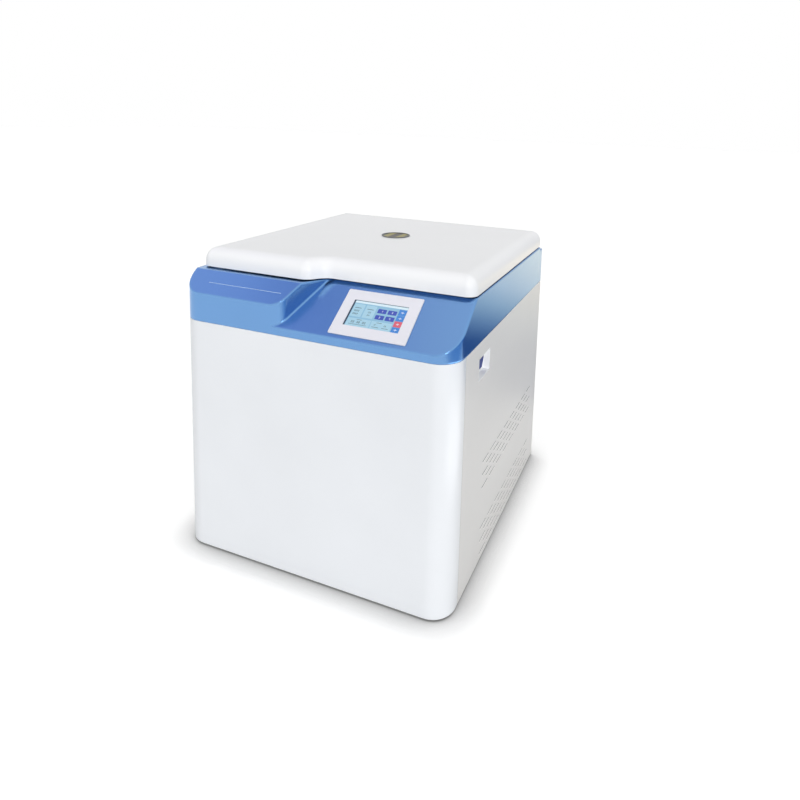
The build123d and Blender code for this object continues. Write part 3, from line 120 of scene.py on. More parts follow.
def softened(name, node, width, segments, degrees):
    """A copy of a CAD node's form, with the edges sharper than an angle rounded."""
    source = nodes[node]
    bm = bmesh.new()
    bm.from_mesh(source.data)
    bmesh.ops.remove_doubles(bm, verts=bm.verts, dist=0.02 * MM)
    bmesh.ops.dissolve_limit(bm, angle_limit=math.radians(0.6), verts=bm.verts, edges=bm.edges)
    bmesh.ops.recalc_face_normals(bm, faces=bm.faces)
    obj = new_object(name, bm)
    bevel = obj.modifiers.new("bevel", "BEVEL")
    bevel.width = width
    bevel.segments = segments
    bevel.limit_method = "ANGLE"
    bevel.angle_limit = math.radians(degrees)
    bevel.harden_normals = False
    bevel.use_clamp_overlap = True
    apply_modifiers(obj)
    sharpen(obj, degrees=40.0)
    weighted(obj)
    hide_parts(node)
    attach(obj, source["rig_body"])
    return obj


# Shader helpers
def srgb(red, green, blue):
    """A display colour of 0 to 255 as the linear colour that shaders take."""
    def linear(value):
        value /= 255.0
        return value / 12.92 if value <= 0.04045 else ((value + 0.055) / 1.055) ** 2.4
    return linear(red), linear(green), linear(blue), 1.0


def shade(colour, factor):
    """A colour made darker or lighter by a factor."""
    return tuple(min(channel * factor, 1.0) for channel in colour[:3]) + (1.0,)


def grey(value):
    """A neutral linear colour."""
    return (value, value, value, 1.0)


class Nodes:
    """The node tree of a material or of the world, which starts empty."""

    def __init__(self, owner):
        owner.use_nodes = True
        self.tree = owner.node_tree
        self.tree.nodes.clear()

    def node(self, kind, **values):
        """A new node with some of its settings."""
        made = self.tree.nodes.new(kind)
        for key, value in values.items():
            setattr(made, key, value)
        return made

    def feed(self, target, source):
        """Links an output to an input, or gives the input a plain value."""
        if isinstance(source, bpy.types.NodeSocket):
            self.tree.links.new(source, target)
        else:
            target.default_value = source

    def compute(self, operation, *sources):
        """The result of an operation on outputs and plain values."""
        made = self.node("ShaderNodeMath", operation=operation)
        for target, source in zip(made.inputs, sources):
            self.feed(target, source)
        return made.outputs["Value"]

    def axis(self, vector, name):
        """One axis of a vector."""
        parts = self.node("ShaderNodeSeparateXYZ")
        self.feed(parts.inputs[0], vector)
        return parts.outputs[name]

    def span(self, factor, low, high, start=0.0, end=1.0):
        """A factor from start to end turned into a value between low and high."""
        span = self.node("ShaderNodeMapRange")
        span.inputs["From Min"].default_value = start
        span.inputs["From Max"].default_value = end
        span.inputs["To Min"].default_value = low
        span.inputs["To Max"].default_value = high
        self.feed(span.inputs["Value"], factor)
        return span.outputs["Result"]

    def times(self, colour, factor):
        """A colour multiplied by a factor."""
        scaled = self.node("ShaderNodeVectorMath", operation="SCALE")
        self.feed(scaled.inputs[0], colour)
        self.feed(scaled.inputs["Scale"], factor)
        return scaled.outputs["Vector"]

    def openness(self, reach, samples):
        """1 in the open, and less where other faces are nearer than reach."""
        near = self.node("ShaderNodeAmbientOcclusion", samples=samples)
        near.inputs["Distance"].default_value = reach
        return near.outputs["AO"]

    def seen_rays(self):
        """1 for camera, glossy and transmission rays, and 0 for the rest."""
        path = self.node("ShaderNodeLightPath")
        total = path.outputs["Is Camera Ray"]
        for name in ("Is Glossy Ray", "Is Transmission Ray"):
            total = self.compute("MAXIMUM", total, path.outputs[name])
        return total


class Shader(Nodes):
    """A material with one Principled shader and the nodes that feed it."""

    def __init__(self, name):
        self.material = bpy.data.materials.new(name)
        super().__init__(self.material)
        self.surface = self.node("ShaderNodeBsdfPrincipled")
        output = self.node("ShaderNodeOutputMaterial")
        self.feed(output.inputs["Surface"], self.surface.outputs["BSDF"])
        self.place = self.node("ShaderNodeTexCoord").outputs["Object"]

    def set(self, **values):
        """Plain values for the Principled shader, named as its inputs are."""
        for key, value in values.items():
            self.surface.inputs[key.replace("_", " ")].default_value = value

    def noise(self, scale, detail=3.0, roughness=0.55, stretch=(1, 1, 1)):
        """A noise pattern over the object's own place."""
        mapping = self.node("ShaderNodeMapping")
        mapping.inputs["Scale"].default_value = stretch
        self.feed(mapping.inputs["Vector"], self.place)
        noise = self.node("ShaderNodeTexNoise")
        noise.inputs["Scale"].default_value = scale
        noise.inputs["Detail"].default_value = detail
        noise.inputs["Roughness"].default_value = roughness
        self.feed(noise.inputs["Vector"], mapping.outputs["Vector"])
        return noise.outputs["Fac"]

    def ramp(self, factor, *stops):
        """A colour that runs over a factor between stops of (place, colour)."""
        ramp = self.node("ShaderNodeValToRGB")
        elements = ramp.color_ramp.elements
        while len(elements) < len(stops):
            elements.new(0.5)
        for element, (place, colour) in zip(elements, stops):
            element.position = place
            element.color = colour
        self.feed(ramp.inputs["Fac"], factor)
        return ramp.outputs["Color"]

    def colour(self, output):
        """The surface's colour."""
        self.feed(self.surface.inputs["Base Color"], output)

    def rough(self, factor, low, high):
        """The surface's roughness, which runs over a factor between low and high."""
        self.feed(self.surface.inputs["Roughness"], self.span(factor, low, high))

    def bump(self, height, distance, under=None):
        """A relief by a height pattern, on top of another normal where one is given."""
        bump = self.node("ShaderNodeBump")
        bump.inputs["Distance"].default_value = distance
        bump.inputs["Strength"].default_value = 1.0
        self.feed(bump.inputs["Height"], height)
        if under is not None:
            self.feed(bump.inputs["Normal"], under)
        self.feed(self.surface.inputs["Normal"], bump.outputs["Normal"])

    def round_normal(self, radius):
        """A normal that lets the light run softly round the piece's edges."""
        soft = self.node("ShaderNodeBevel", samples=12)
        soft.inputs["Radius"].default_value = radius
        return soft.outputs["Normal"]


# Kinds of material
def painted(name, colour, roughness, peel=0.02, spread=0.02, coat=0.0, specular=0.5):
    """Smooth paint or moulded plastic: faint colour drift, uneven gloss and fine orange peel."""
    made = Shader(name)
    made.set(Specular_IOR_Level=specular, Coat_Weight=coat, Coat_Roughness=0.06)
    drift = made.noise(3.0, 2.0)
    made.colour(made.ramp(drift, (0.3, shade(colour, 1 - spread)), (0.7, shade(colour, 1 + spread))))
    made.rough(made.noise(24.0, 4.0), roughness * 0.85, roughness * 1.15)
    made.bump(made.noise(420.0, 2.0), peel * MM)
    return made.material


def metal(name, colour, roughness, stretch=(1, 1, 60), grain=0.03):
    """Brushed or turned metal: long fine grain and streaks of gloss."""
    made = Shader(name)
    made.set(Metallic=1.0)
    streak = made.noise(30.0, 5.0, 0.6, stretch)
    made.colour(made.ramp(streak, (0.25, shade(colour, 0.92)), (0.75, shade(colour, 1.08))))
    made.rough(streak, roughness * 0.75, roughness * 1.3)
    made.bump(streak, grain * MM)
    return made.material


def rubber(name, colour):
    """Matt rubber with a fine grain and dusty lighter patches."""
    made = Shader(name)
    dust = made.noise(18.0, 5.0)
    made.colour(made.ramp(dust, (0.35, colour), (0.8, shade(colour, 1.8))))
    made.rough(dust, 0.6375, 0.8625)
    made.bump(made.noise(900.0, 2.0), 0.05 * MM)
    return made.material


def foam(name, colour):
    """Cut foam with open cells."""
    made = Shader(name)
    cells = made.node("ShaderNodeTexVoronoi")
    cells.inputs["Scale"].default_value = 700.0
    made.feed(cells.inputs["Vector"], made.place)
    made.colour(made.ramp(made.noise(9.0), (0.3, shade(colour, 0.88)), (0.75, colour)))
    made.set(Roughness=0.95)
    made.bump(cells.outputs["Distance"], 0.3 * MM)
    return made.material


def lit(name, colour, glow=0.16):
    """A colour of the display's picture: glossy, faintly lit, with the pixel grid's fine grain."""
    made = Shader(name)
    made.set(Coat_Weight=0.6, Coat_Roughness=0.05, Emission_Strength=glow)
    grain = made.noise(900.0, 1.0)
    tint = made.ramp(grain, (0.2, shade(colour, 0.93)), (0.8, shade(colour, 1.04)))
    made.colour(tint)
    made.feed(made.surface.inputs["Emission Color"], tint)
    made.rough(made.noise(30.0, 3.0), 0.14, 0.26)
    return made.material


# Colours and depths of the outer faces, with the painted shade and highlights of the side panel
FRONT_WHITE = srgb(240, 243, 247)
SIDE_SILVER = srgb(232, 231, 229)
COLLAR_BLUE = srgb(115, 160, 212)
LID_WHITE = srgb(243, 244, 246)
COLLAR_ROUND = 7 * MM
# Painted shade in the side panel's recesses: how near other faces must be, and how dark the colour gets
RECESS_REACH = 12 * MM
RECESS_PAINTED_SHADE = 0.45
# Painted highlight on the louvres' scoops and painted shade in their slots: depths below the sheet, and
# how much lighter or darker
LIP_DEPTH = 0.55 * MM
SLOT_DEPTH = 0.85 * MM
LIP_PAINTED_HIGHLIGHT = 0.43
SLOT_PAINTED_SHADE = -0.82
WINDOW_START = 6 * MM
WINDOW_END = 44 * MM
WINDOW_WAVE = 12 * MM


def collar_paint():
    """Glossy metallic blue paint: it darkens where it mirrors itself and pales at low angles."""
    made = Shader("collar_blue")
    made.set(Metallic=0.92)
    drift = made.noise(2.4, 2.0)
    made.colour(made.ramp(drift, (0.3, shade(COLLAR_BLUE, 0.97)), (0.7, shade(COLLAR_BLUE, 1.03))))
    made.rough(made.noise(20.0, 4.0), 0.17, 0.23)
    made.bump(made.noise(30.0, 2.0), 0.02 * MM, made.round_normal(COLLAR_ROUND))
    return made.material


def louvre_painted_light(made):
    """A factor of painted light: a painted highlight on the louvres' scoops near the sheet and painted
    shade deep in their slots.
    """
    normal = made.node("ShaderNodeNewGeometry").outputs["True Normal"]
    upward = made.span(made.axis(normal, "Z"), 0.0, 1.0, 0.2, 0.4)
    side = made.compute("ABSOLUTE", made.axis(made.place, "X"))
    scoop_painted_light = made.span(side, SLOT_PAINTED_SHADE, LIP_PAINTED_HIGHLIGHT, HALF_WIDTH - SLOT_DEPTH, HALF_WIDTH - LIP_DEPTH)
    return made.compute("MULTIPLY_ADD", upward, scoop_painted_light, 1.0)


def side_paint():
    """Silver paint on pressed sheet, with painted shade in its recesses and deep in the louvre slots,
    painted highlights on the louvres' scoops, and soft long bands of tone.
    """
    made = Shader("side_silver")
    made.set(Specular_IOR_Level=0.3)
    bands = made.noise(2.2, 3.0, 0.5, (0.4, 0.35, 1.6))
    tone = made.ramp(bands, (0.3, shade(SIDE_SILVER, 0.97)), (0.7, shade(SIDE_SILVER, 1.03)))
    # Painted shade: the colour is darker where other faces are near, in the panel's recesses, seams and
    # louvres.
    painted_recess_shade = made.span(made.openness(RECESS_REACH, samples=12), RECESS_PAINTED_SHADE, 1.0)
    # Painted highlight on the louvres' scoops and painted shade in their slots.
    made.colour(made.times(made.times(tone, painted_recess_shade), louvre_painted_light(made)))
    made.rough(made.noise(60.0, 4.0), 0.40, 0.50)
    made.bump(made.noise(650.0, 2.0), 0.03 * MM)
    return made.material


def sight_window():
    """The port's amber window: dark in the middle, olive at its left and right, grey at its rim."""
    made = Shader("sight_window")
    made.set(Roughness=0.3, Specular_IOR_Level=0.12)
    side = made.compute("ABSOLUTE", made.axis(made.place, "X"))
    wave = made.compute("MULTIPLY_ADD", made.noise(60.0, 3.0), WINDOW_WAVE, side)
    reach = made.span(wave, 0.0, 1.0, WINDOW_START, WINDOW_END)
    middle = srgb(50, 42, 32)
    olive = srgb(146, 136, 58)
    rim = srgb(84, 90, 80)
    made.colour(made.ramp(reach, (0.22, middle), (0.42, olive), (0.68, olive), (0.9, rim)))
    return made.material


materials = {
    "front_white": painted("front_white", FRONT_WHITE, 0.32, coat=0.2),
    "side_silver": side_paint(),
    "collar_blue": collar_paint(),
    "lid_white": painted("lid_white", LID_WHITE, 0.34, peel=0.01, coat=0.15, spread=0.01),
    "bezel_white": painted("bezel_white", srgb(226, 226, 234), 0.45, peel=0.03),
    "recess_white": painted("recess_white", srgb(246, 247, 248), 0.5),
    "rocker_blue": painted("rocker_blue", srgb(14, 50, 132), 0.4, specular=0.1),
    "black_plastic": painted("black_plastic", srgb(26, 26, 28), 0.5, peel=0.06, spread=0.1),
    "board_green": painted("board_green", srgb(28, 92, 52), 0.4, spread=0.12),
    "frame_paint": painted("frame_paint", srgb(132, 136, 142), 0.45, peel=0.05),
    "motor_grey": painted("motor_grey", srgb(96, 102, 110), 0.5, peel=0.12, spread=0.06),
    "black_paint": painted("black_paint", srgb(34, 34, 36), 0.4, peel=0.05, spread=0.08),
    "screen_face": painted("screen_face", srgb(168, 208, 228), 0.12, peel=0.0, coat=1.0),
    "black_rubber": rubber("black_rubber", srgb(28, 28, 29)),
    "grey_rubber": rubber("grey_rubber", srgb(72, 74, 78)),
    "bare_steel": metal("bare_steel", srgb(196, 198, 202), 0.32),
    "spring_steel": metal("spring_steel", srgb(120, 122, 128), 0.35),
    "stainless": metal("stainless", srgb(206, 208, 212), 0.26, (1, 60, 60), 0.012),
    "copper": metal("copper", srgb(205, 128, 88), 0.3, (6, 6, 6)),
    "sight_grey": metal("sight_grey", srgb(84, 88, 92), 0.35, (8, 8, 1)),
    "rotor_aluminium": metal("rotor_aluminium", srgb(176, 180, 186), 0.3, (1, 1, 70)),
    "bucket_aluminium": metal("bucket_aluminium", srgb(196, 200, 206), 0.3, (1, 1, 70)),
    "fin_aluminium": metal("fin_aluminium", srgb(206, 208, 212), 0.36, (1, 40, 1)),
    "foam": foam("foam", srgb(226, 212, 160)),
    "sight_window": sight_window(),
}


def finish(obj, slot):
    """Gives a piece or node a slot's material."""
    obj.data.materials.clear()
    obj.data.materials.append(materials[slot])


for node, slot in slots.items():
    finish(nodes[node], slot)


# Lid
LID_LEFT_Y = lid_low.y
LID_RIGHT_Y = FRONT_Y + 127 * MM
LID_STEP_X = -72 * MM
LID_STEP_ANGLE = math.radians(52.0)
LID_STEP_RADIUS = 40 * MM
LID_FRONT_CORNER = 28 * MM
LID_REAR_CORNER = 30 * MM
LID_EDGE = 38 * MM
LID_DROP = 36 * MM
LID_FULLNESS = 2.1
LID_WALL = 4 * MM
LID_CROWN = 1.0 * MM
LID_TOP_Z = lid_high.z - LID_CROWN
LID_FOOT = 1.5 * MM
FOOT_LIFT = 0.2 * MM
FOOT_BEND = 0.3
EDGE_STEPS = 14
PORT_OVERLAP = 2.5 * MM
ARC_STEP = math.radians(5.0)


class Outline:
    """A closed path in the ground plane, walked as runs and arcs, with its outward normals."""

    def __init__(self, start, heading):
        self.place = Vector(start)
        self.heading = heading
        self.points = []

    def outward(self):
        """The direction to the right of the path, which is out of it."""
        return Vector((math.sin(self.heading), -math.cos(self.heading)))

    def keep(self):
        """Adds the place reached to the path's points."""
        self.points.append((self.place.copy(), self.outward()))

    def run(self, length, pieces=1):
        """A straight stretch in equal pieces."""
        for _ in range(pieces):
            self.keep()
            self.place += Vector((math.cos(self.heading), math.sin(self.heading))) * length / pieces
        return self

    def arc(self, radius, turn):
        """A bend to the left, or to the right where turn is negative."""
        steps = max(2, round(abs(turn) / ARC_STEP))
        side = math.copysign(1.0, turn)
        centre = self.place - side * radius * self.outward()
        for _ in range(steps):
            self.keep()
            self.heading += turn / steps
            self.place = centre + side * radius * self.outward()
        return self


def lid_outline():
    """The lid seen from above, from the left end of its front edge round to the right, back and left."""
    half = lid_high.x
    back = lid_high.y
    rise = LID_STEP_RADIUS * (1 - math.cos(LID_STEP_ANGLE))
    reach = LID_STEP_RADIUS * math.sin(LID_STEP_ANGLE)
    run = (LID_RIGHT_Y - LID_LEFT_Y - 2 * rise) / math.sin(LID_STEP_ANGLE)
    end_x = LID_STEP_X + 2 * reach + run * math.cos(LID_STEP_ANGLE)
    path = Outline((-half + LID_FRONT_CORNER, LID_LEFT_Y), 0.0)
    path.run(LID_STEP_X + half - LID_FRONT_CORNER, 6)
    path.arc(LID_STEP_RADIUS, LID_STEP_ANGLE).run(run, 2).arc(LID_STEP_RADIUS, -LID_STEP_ANGLE)
    path.run(half - LID_FRONT_CORNER - end_x, 8)
    path.arc(LID_FRONT_CORNER, math.pi / 2)
    path.run(back - LID_REAR_CORNER - LID_RIGHT_Y - LID_FRONT_CORNER, 10)
    path.arc(LID_REAR_CORNER, math.pi / 2).run(2 * (half - LID_REAR_CORNER), 10)
    path.arc(LID_REAR_CORNER, math.pi / 2)
    path.run(back - LID_REAR_CORNER - LID_LEFT_Y - LID_FRONT_CORNER, 10)
    path.arc(LID_FRONT_CORNER, math.pi / 2)
    return path.points


def ring_of(bm, outline, inset, z):
    """A loop of vertices round the lid's outline, moved in by inset, with mitred corners."""
    ring = []
    side = lid_high.x - inset
    back = lid_high.y - inset
    for place, outward in outline:
        point = place - outward * inset
        front = LID_LEFT_Y if place.x < LID_STEP_X else LID_RIGHT_Y
        x = max(-side, min(side, point.x))
        y = min(back, point.y)
        if abs(place.x) > lid_high.x - LID_FRONT_CORNER:
            y = max(front + inset, y)
        ring.append(bm.verts.new((x, y, z)))
    return ring


def distinct(bm, ring):
    """A second loop over a ring's places, without those that its mitred corners repeat."""
    loop = []
    for vertex in ring:
        if not loop or (vertex.co - loop[-1].co).length > 0.05 * MM:
            loop.append(bm.verts.new(vertex.co))
    return loop


def join_rings(bm, lower, upper):
    """A band of faces between two loops of the same length."""
    count = len(lower)
    for i in range(count):
        j = (i + 1) % count
        bm.faces.new((lower[i], lower[j], upper[j], upper[i]))


def circle_of(bm, radius, y, z, count=96):
    """A loop of vertices round the sight port."""
    turns = [2 * math.pi * i / count for i in range(count)]
    return [bm.verts.new((radius * math.cos(t), y + radius * math.sin(t), z)) for t in turns]


def fill_between(bm, outer, inner):
    """Flat faces between an outer loop and a hole in it."""
    edges = []
    for loop in (outer, inner):
        for a, b in zip(loop, loop[1:] + loop[:1]):
            edges.append(bm.edges.get((a, b)) or bm.edges.new((a, b)))
    bmesh.ops.triangle_fill(bm, edges=edges, use_beauty=True, use_dissolve=False)


def soft_edge(bm, outline, wall):
    """Loops over the lid's soft edge, from its wall to its top, moved in and down by a thickness."""
    power = 2 / LID_FULLNESS
    rings = []
    for step in range(1, EDGE_STEPS + 1):
        turn = math.pi / 2 * (step / EDGE_STEPS)
        inset = LID_EDGE * (1 - max(math.cos(turn), 0.0) ** power)
        z = LID_TOP_Z - LID_DROP * (1 - math.sin(turn) ** power)
        rings.append(ring_of(bm, outline, inset + wall, z - wall))
    return rings


def lid_cover():
    """The lid's white shell: rounded top edge, walls, underside and the sight port's hole."""
    outline = lid_outline()
    bm = bmesh.new()
    shoulder_z = LID_TOP_Z - LID_DROP
    outer = [ring_of(bm, outline, LID_WALL, lid_low.z + FOOT_LIFT)]
    outer.append(ring_of(bm, outline, LID_FOOT, lid_low.z))
    outer.append(ring_of(bm, outline, LID_FOOT * FOOT_BEND, lid_low.z + LID_FOOT * FOOT_BEND))
    outer.append(ring_of(bm, outline, 0.0, lid_low.z + LID_FOOT))
    outer.append(ring_of(bm, outline, 0.0, shoulder_z))
    outer += soft_edge(bm, outline, 0.0)
    for lower, upper in zip(outer, outer[1:]):
        join_rings(bm, lower, upper)
    hole = ring_high.x - PORT_OVERLAP
    inner_top = circle_of(bm, hole, CHAMBER_Y, outer[-1][0].co.z)
    fill_between(bm, distinct(bm, outer[-1]), inner_top)
    inner = [outer[0], ring_of(bm, outline, LID_WALL, shoulder_z - LID_WALL)]
    inner += soft_edge(bm, outline, LID_WALL)
    for lower, upper in zip(inner, inner[1:]):
        join_rings(bm, upper, lower)
    inner_low = circle_of(bm, hole, CHAMBER_Y, LID_TOP_Z - LID_WALL)
    fill_between(bm, distinct(bm, inner[-1]), inner_low)
    join_rings(bm, inner_low, inner_top)
    bmesh.ops.remove_doubles(bm, verts=bm.verts, dist=0.01 * MM)
    bmesh.ops.recalc_face_normals(bm, faces=bm.faces)
    obj = new_object("lid_cover", bm)
    cut_notches(obj)
    sharpen(obj, degrees=35.0)
    weighted(obj)
    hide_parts("lid_shell")
    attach(obj, "lid")
    finish(obj, "lid_white")


def box_mesh(bm, low, high):
    """A box between two corners."""
    size = Vector(high) - Vector(low)
    middle = (Vector(high) + Vector(low)) / 2
    place = Matrix.Translation(middle) @ Matrix.Diagonal((*size, 1.0))
    bmesh.ops.create_cube(bm, size=1.0, matrix=place)


BRACKET_WIDTH = 60 * MM
NOTCH_HALF = 42 * MM
NOTCH_ABOVE_ARM = 2 * MM
CUT_BEYOND = 5 * MM


def cut_notches(obj):
    """Opens the lid's rear edge round each hinge."""
    arm_low, arm_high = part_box("hinge_arms")
    bracket_low, bracket_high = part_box("hinge_brackets")
    hinge_x = bracket_high.x - BRACKET_WIDTH / 2
    for x in (-hinge_x, hinge_x):
        bm = bmesh.new()
        low = (x - NOTCH_HALF, bracket_low.y, lid_low.z - CUT_BEYOND)
        high = (x + NOTCH_HALF, lid_high.y + CUT_BEYOND, arm_high.z + NOTCH_ABOVE_ARM)
        box_mesh(bm, low, high)
        cutter = new_object("cutter", bm, False)
        cut = obj.modifiers.new("notch", "BOOLEAN")
        cut.operation = "DIFFERENCE"
        cut.solver = "EXACT"
        cut.object = cutter
        apply_modifiers(obj)
        bpy.data.objects.remove(cutter)


CORE_BAND = 1 * MM
CORE_DROP = 3 * MM
CORE_INSET = 20 * MM
PORT_ZONE = 80 * MM


def lid_core():
    """The lid's foam, drawn in at its top to follow the shell's soft edge."""
    source = nodes["lid_insulation"]
    bm = bmesh.new()
    bm.from_mesh(source.data)
    outline = lid_outline()
    top = max(vertex.co.z for vertex in bm.verts)
    for vertex in bm.verts:
        flat = Vector(vertex.co.xy)
        away = (flat - Vector((0.0, CHAMBER_Y))).length
        if vertex.co.z > top - CORE_BAND and away > PORT_ZONE:
            place, outward = min(outline, key=lambda entry: (entry[0] - flat).length)
            moved = flat - outward * CORE_INSET
            vertex.co = (moved.x, moved.y, top - CORE_DROP)
    core = new_object("lid_core", bm, False)
    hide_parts("lid_insulation")
    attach(core, "lid")
    finish(core, "foam")


lid_cover()
lid_core()

# Collar, panels and bezel with rounded edges
collar = softened("collar_skin", "top_collar", 2.5 * MM, segments=4, degrees=28.0)
finish(collar, "collar_blue")

SKINS = (
    ("front_skin", "front_panel", 0.8),
    ("bezel_frame", "display_bezel", 0.8),
    ("right_skin", "right_side_panel", 0.35),
    ("left_skin", "left_side_panel", 0.35),
)
for skin, source, width in SKINS:
    piece = softened(skin, source, width * MM, segments=2, degrees=40.0)
    wanted = slots[source]
    finish(piece, wanted)

# Sloped operating face
TILT = math.radians(36.0)
RIGHT_LIP = 20 * MM
LEFT_LIP = 76 * MM


class Slope:
    """Places on the collar's sloped face: across, up the slope from its lower edge, and out of it."""

    def __init__(self, lip):
        self.foot = Vector((0.0, FRONT_Y, CABINET_TOP + lip))
        self.up = Vector((0.0, math.cos(TILT), math.sin(TILT)))
        self.out = Vector((0.0, -math.sin(TILT), math.cos(TILT)))

    def at(self, across, up, out):
        """A place on the slope or out of it."""
        return self.foot + Vector((across, 0.0, 0.0)) + self.up * up + self.out * out

    def plate(self, bm, x0, x1, low, high, base, top, radius=0.0):
        """A thin plate with rounded corners on the slope."""
        corners = ((x1, high, 0), (x0, high, 90), (x0, low, 180), (x1, low, 270))
        loop = []
        for x, y, start in corners:
            middle_x = x - math.copysign(radius, x - (x0 + x1) / 2)
            middle_y = y - math.copysign(radius, y - (low + high) / 2)
            turns = range(0, 91, 18) if radius else (45,)
            for turn in turns:
                a = math.radians(start + turn)
                loop.append((middle_x + radius * math.cos(a), middle_y + radius * math.sin(a)))
        lower = [bm.verts.new(self.at(x, y, base)) for x, y in loop]
        upper = [bm.verts.new(self.at(x, y, top)) for x, y in loop]
        bm.faces.new(upper)
        bm.faces.new(list(reversed(lower)))
        join_rings(bm, lower, upper)


# Touch panel, placed on the slope in metres
PANEL_X = (bezel_low.x + bezel_high.x) / 2
PANEL_UP = 79 * MM
BEZEL_WIDTH = 206 * MM
BEZEL_HEIGHT = 136 * MM
GLASS_OUT = 1.5 * MM
LAYER = 0.12 * MM
slope = Slope(RIGHT_LIP)

# Its picture, as left, right, top and bottom in millimetres from the bezel's upper left corner
WINDOW = (28.0, 176.0, 30.0, 107.0)
GROUND = (32.5, 176.0, 31.2, 107.0)
HEADER = (32.5, 175.5, 31.6, 38.0)
FIELDS = (
    (34.0, 63.5, 41.0, 79.0),
    (67.0, 95.5, 41.0, 79.0),
    (34.0, 96.5, 83.5, 106.4),
    (98.5, 152.5, 83.5, 106.4),
)
BUTTON_WIDTH = 23.5
BUTTON_HEIGHT = 12.6
BUTTONS = [(x, x + BUTTON_WIDTH, y, y + BUTTON_HEIGHT) for x in (101.0, 128.3) for y in (46.6, 65.0)]
KEY_LEFT = 155.5
KEY_RIGHT = 175.6
KEY_HEIGHTS = ((39.6, 56.8), (57.4, 73.6), (91.4, 106.8))
KEYS = [(KEY_LEFT, KEY_RIGHT, top, bottom) for top, bottom in KEY_HEIGHTS]
STOP_KEY = (KEY_LEFT, KEY_RIGHT, 74.2, 90.8)
CROSS_MARGIN = 6.0
CROSS_REACH = 3.0
CROSS_BAR = 0.6
RULES = (
    (38.6, 56.0, 51.8, 53.4),
    (72.4, 90.0, 51.8, 53.4),
    (58.0, 72.0, 86.0, 87.2),
    (40.5, 88.5, 100.4, 101.4),
    (112.0, 126.0, 86.6, 87.8),
    (104.0, 122.0, 99.8, 101.0),
    (130.0, 147.0, 99.8, 101.0),
)

# Its numbers, with their left, top and height in millimetres, and the place and height of a button's digit
NUMBERS = (
    ("4000", 38.6, 59.0, 4.6),
    ("3992", 38.6, 68.0, 4.6),
    ("25", 78.4, 59.0, 4.6),
    ("24", 78.4, 68.0, 4.6),
    ("00 30 00", 45.5, 91.0, 6.0),
    ("12", 106.0, 91.4, 4.0),
    ("05", 134.0, 91.4, 4.0),
)
BUTTON_DIGIT_LEFT = 1.2
BUTTON_DIGIT_TOP = 3.6
BUTTON_DIGIT_HEIGHT = 5.0

# Digits: the bars that each lights, and their width, bar and step as parts of their height
SEGMENTS = {
    "0": "abcdef", "1": "bc", "2": "abdeg", "3": "abcdg", "4": "bcfg",
    "5": "acdfg", "6": "acdefg", "7": "abc", "8": "abcdefg", "9": "abcdfg",
}
DIGIT_WIDTH = 0.55
DIGIT_BAR = 0.16
DIGIT_STEP = 0.85


def from_bezel(x0, x1, top, bottom):
    """A rectangle in millimetres from the bezel's upper left corner, as places on the slope."""
    left = PANEL_X - BEZEL_WIDTH / 2
    high = PANEL_UP + BEZEL_HEIGHT / 2
    return left + x0 * MM, left + x1 * MM, high - bottom * MM, high - top * MM


def screen_layer(name, layer, material, rectangles, radius=0.0):
    """One colour of the picture: thin plates on the display's glass."""
    bm = bmesh.new()
    base = GLASS_OUT + LAYER * (layer - 1)
    for rectangle in rectangles:
        x0, x1, low, high = from_bezel(*rectangle)
        slope.plate(bm, x0, x1, low, high, base, base + LAYER, radius * MM)
    obj = new_object(name, bm, False)
    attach(obj, "cabinet")
    obj.data.materials.append(material)


def digit(character, x, top, height):
    """The bars of one plain seven-bar digit, as rectangles in millimetres."""
    wide = height * DIGIT_WIDTH
    thick = height * DIGIT_BAR
    middle = top + height / 2
    bars = {
        "a": (x, x + wide, top, top + thick),
        "b": (x + wide - thick, x + wide, top, middle),
        "c": (x + wide - thick, x + wide, middle, top + height),
        "d": (x, x + wide, top + height - thick, top + height),
        "e": (x, x + thick, middle, top + height),
        "f": (x, x + thick, top, middle),
        "g": (x, x + wide, middle - thick / 2, middle + thick / 2),
    }
    return [bars[key] for key in SEGMENTS[character]]


def number(text, x, top, height):
    """The bars of a number, whose spaces are a digit wide."""
    bars = []
    for place, character in enumerate(text):
        if character != " ":
            bars += digit(character, x + place * height * DIGIT_STEP, top, height)
    return bars


def screen_signs():
    """The buttons' digits, and a plain cross on each key."""
    signs = []
    for order, (x0, x1, y0, y1) in enumerate(BUTTONS):
        left = (x0 + x1) / 2 - BUTTON_DIGIT_LEFT
        signs += number(str(order + 1), left, y0 + BUTTON_DIGIT_TOP, BUTTON_DIGIT_HEIGHT)
    for x0, x1, y0, y1 in KEYS + [STOP_KEY]:
        across = (x0 + x1) / 2
        middle = (y0 + y1) / 2
        signs.append((x0 + CROSS_MARGIN, x1 - CROSS_MARGIN, middle - CROSS_BAR, middle + CROSS_BAR))
        signs.append((across - CROSS_BAR, across + CROSS_BAR, middle - CROSS_REACH, middle + CROSS_REACH))
    return signs


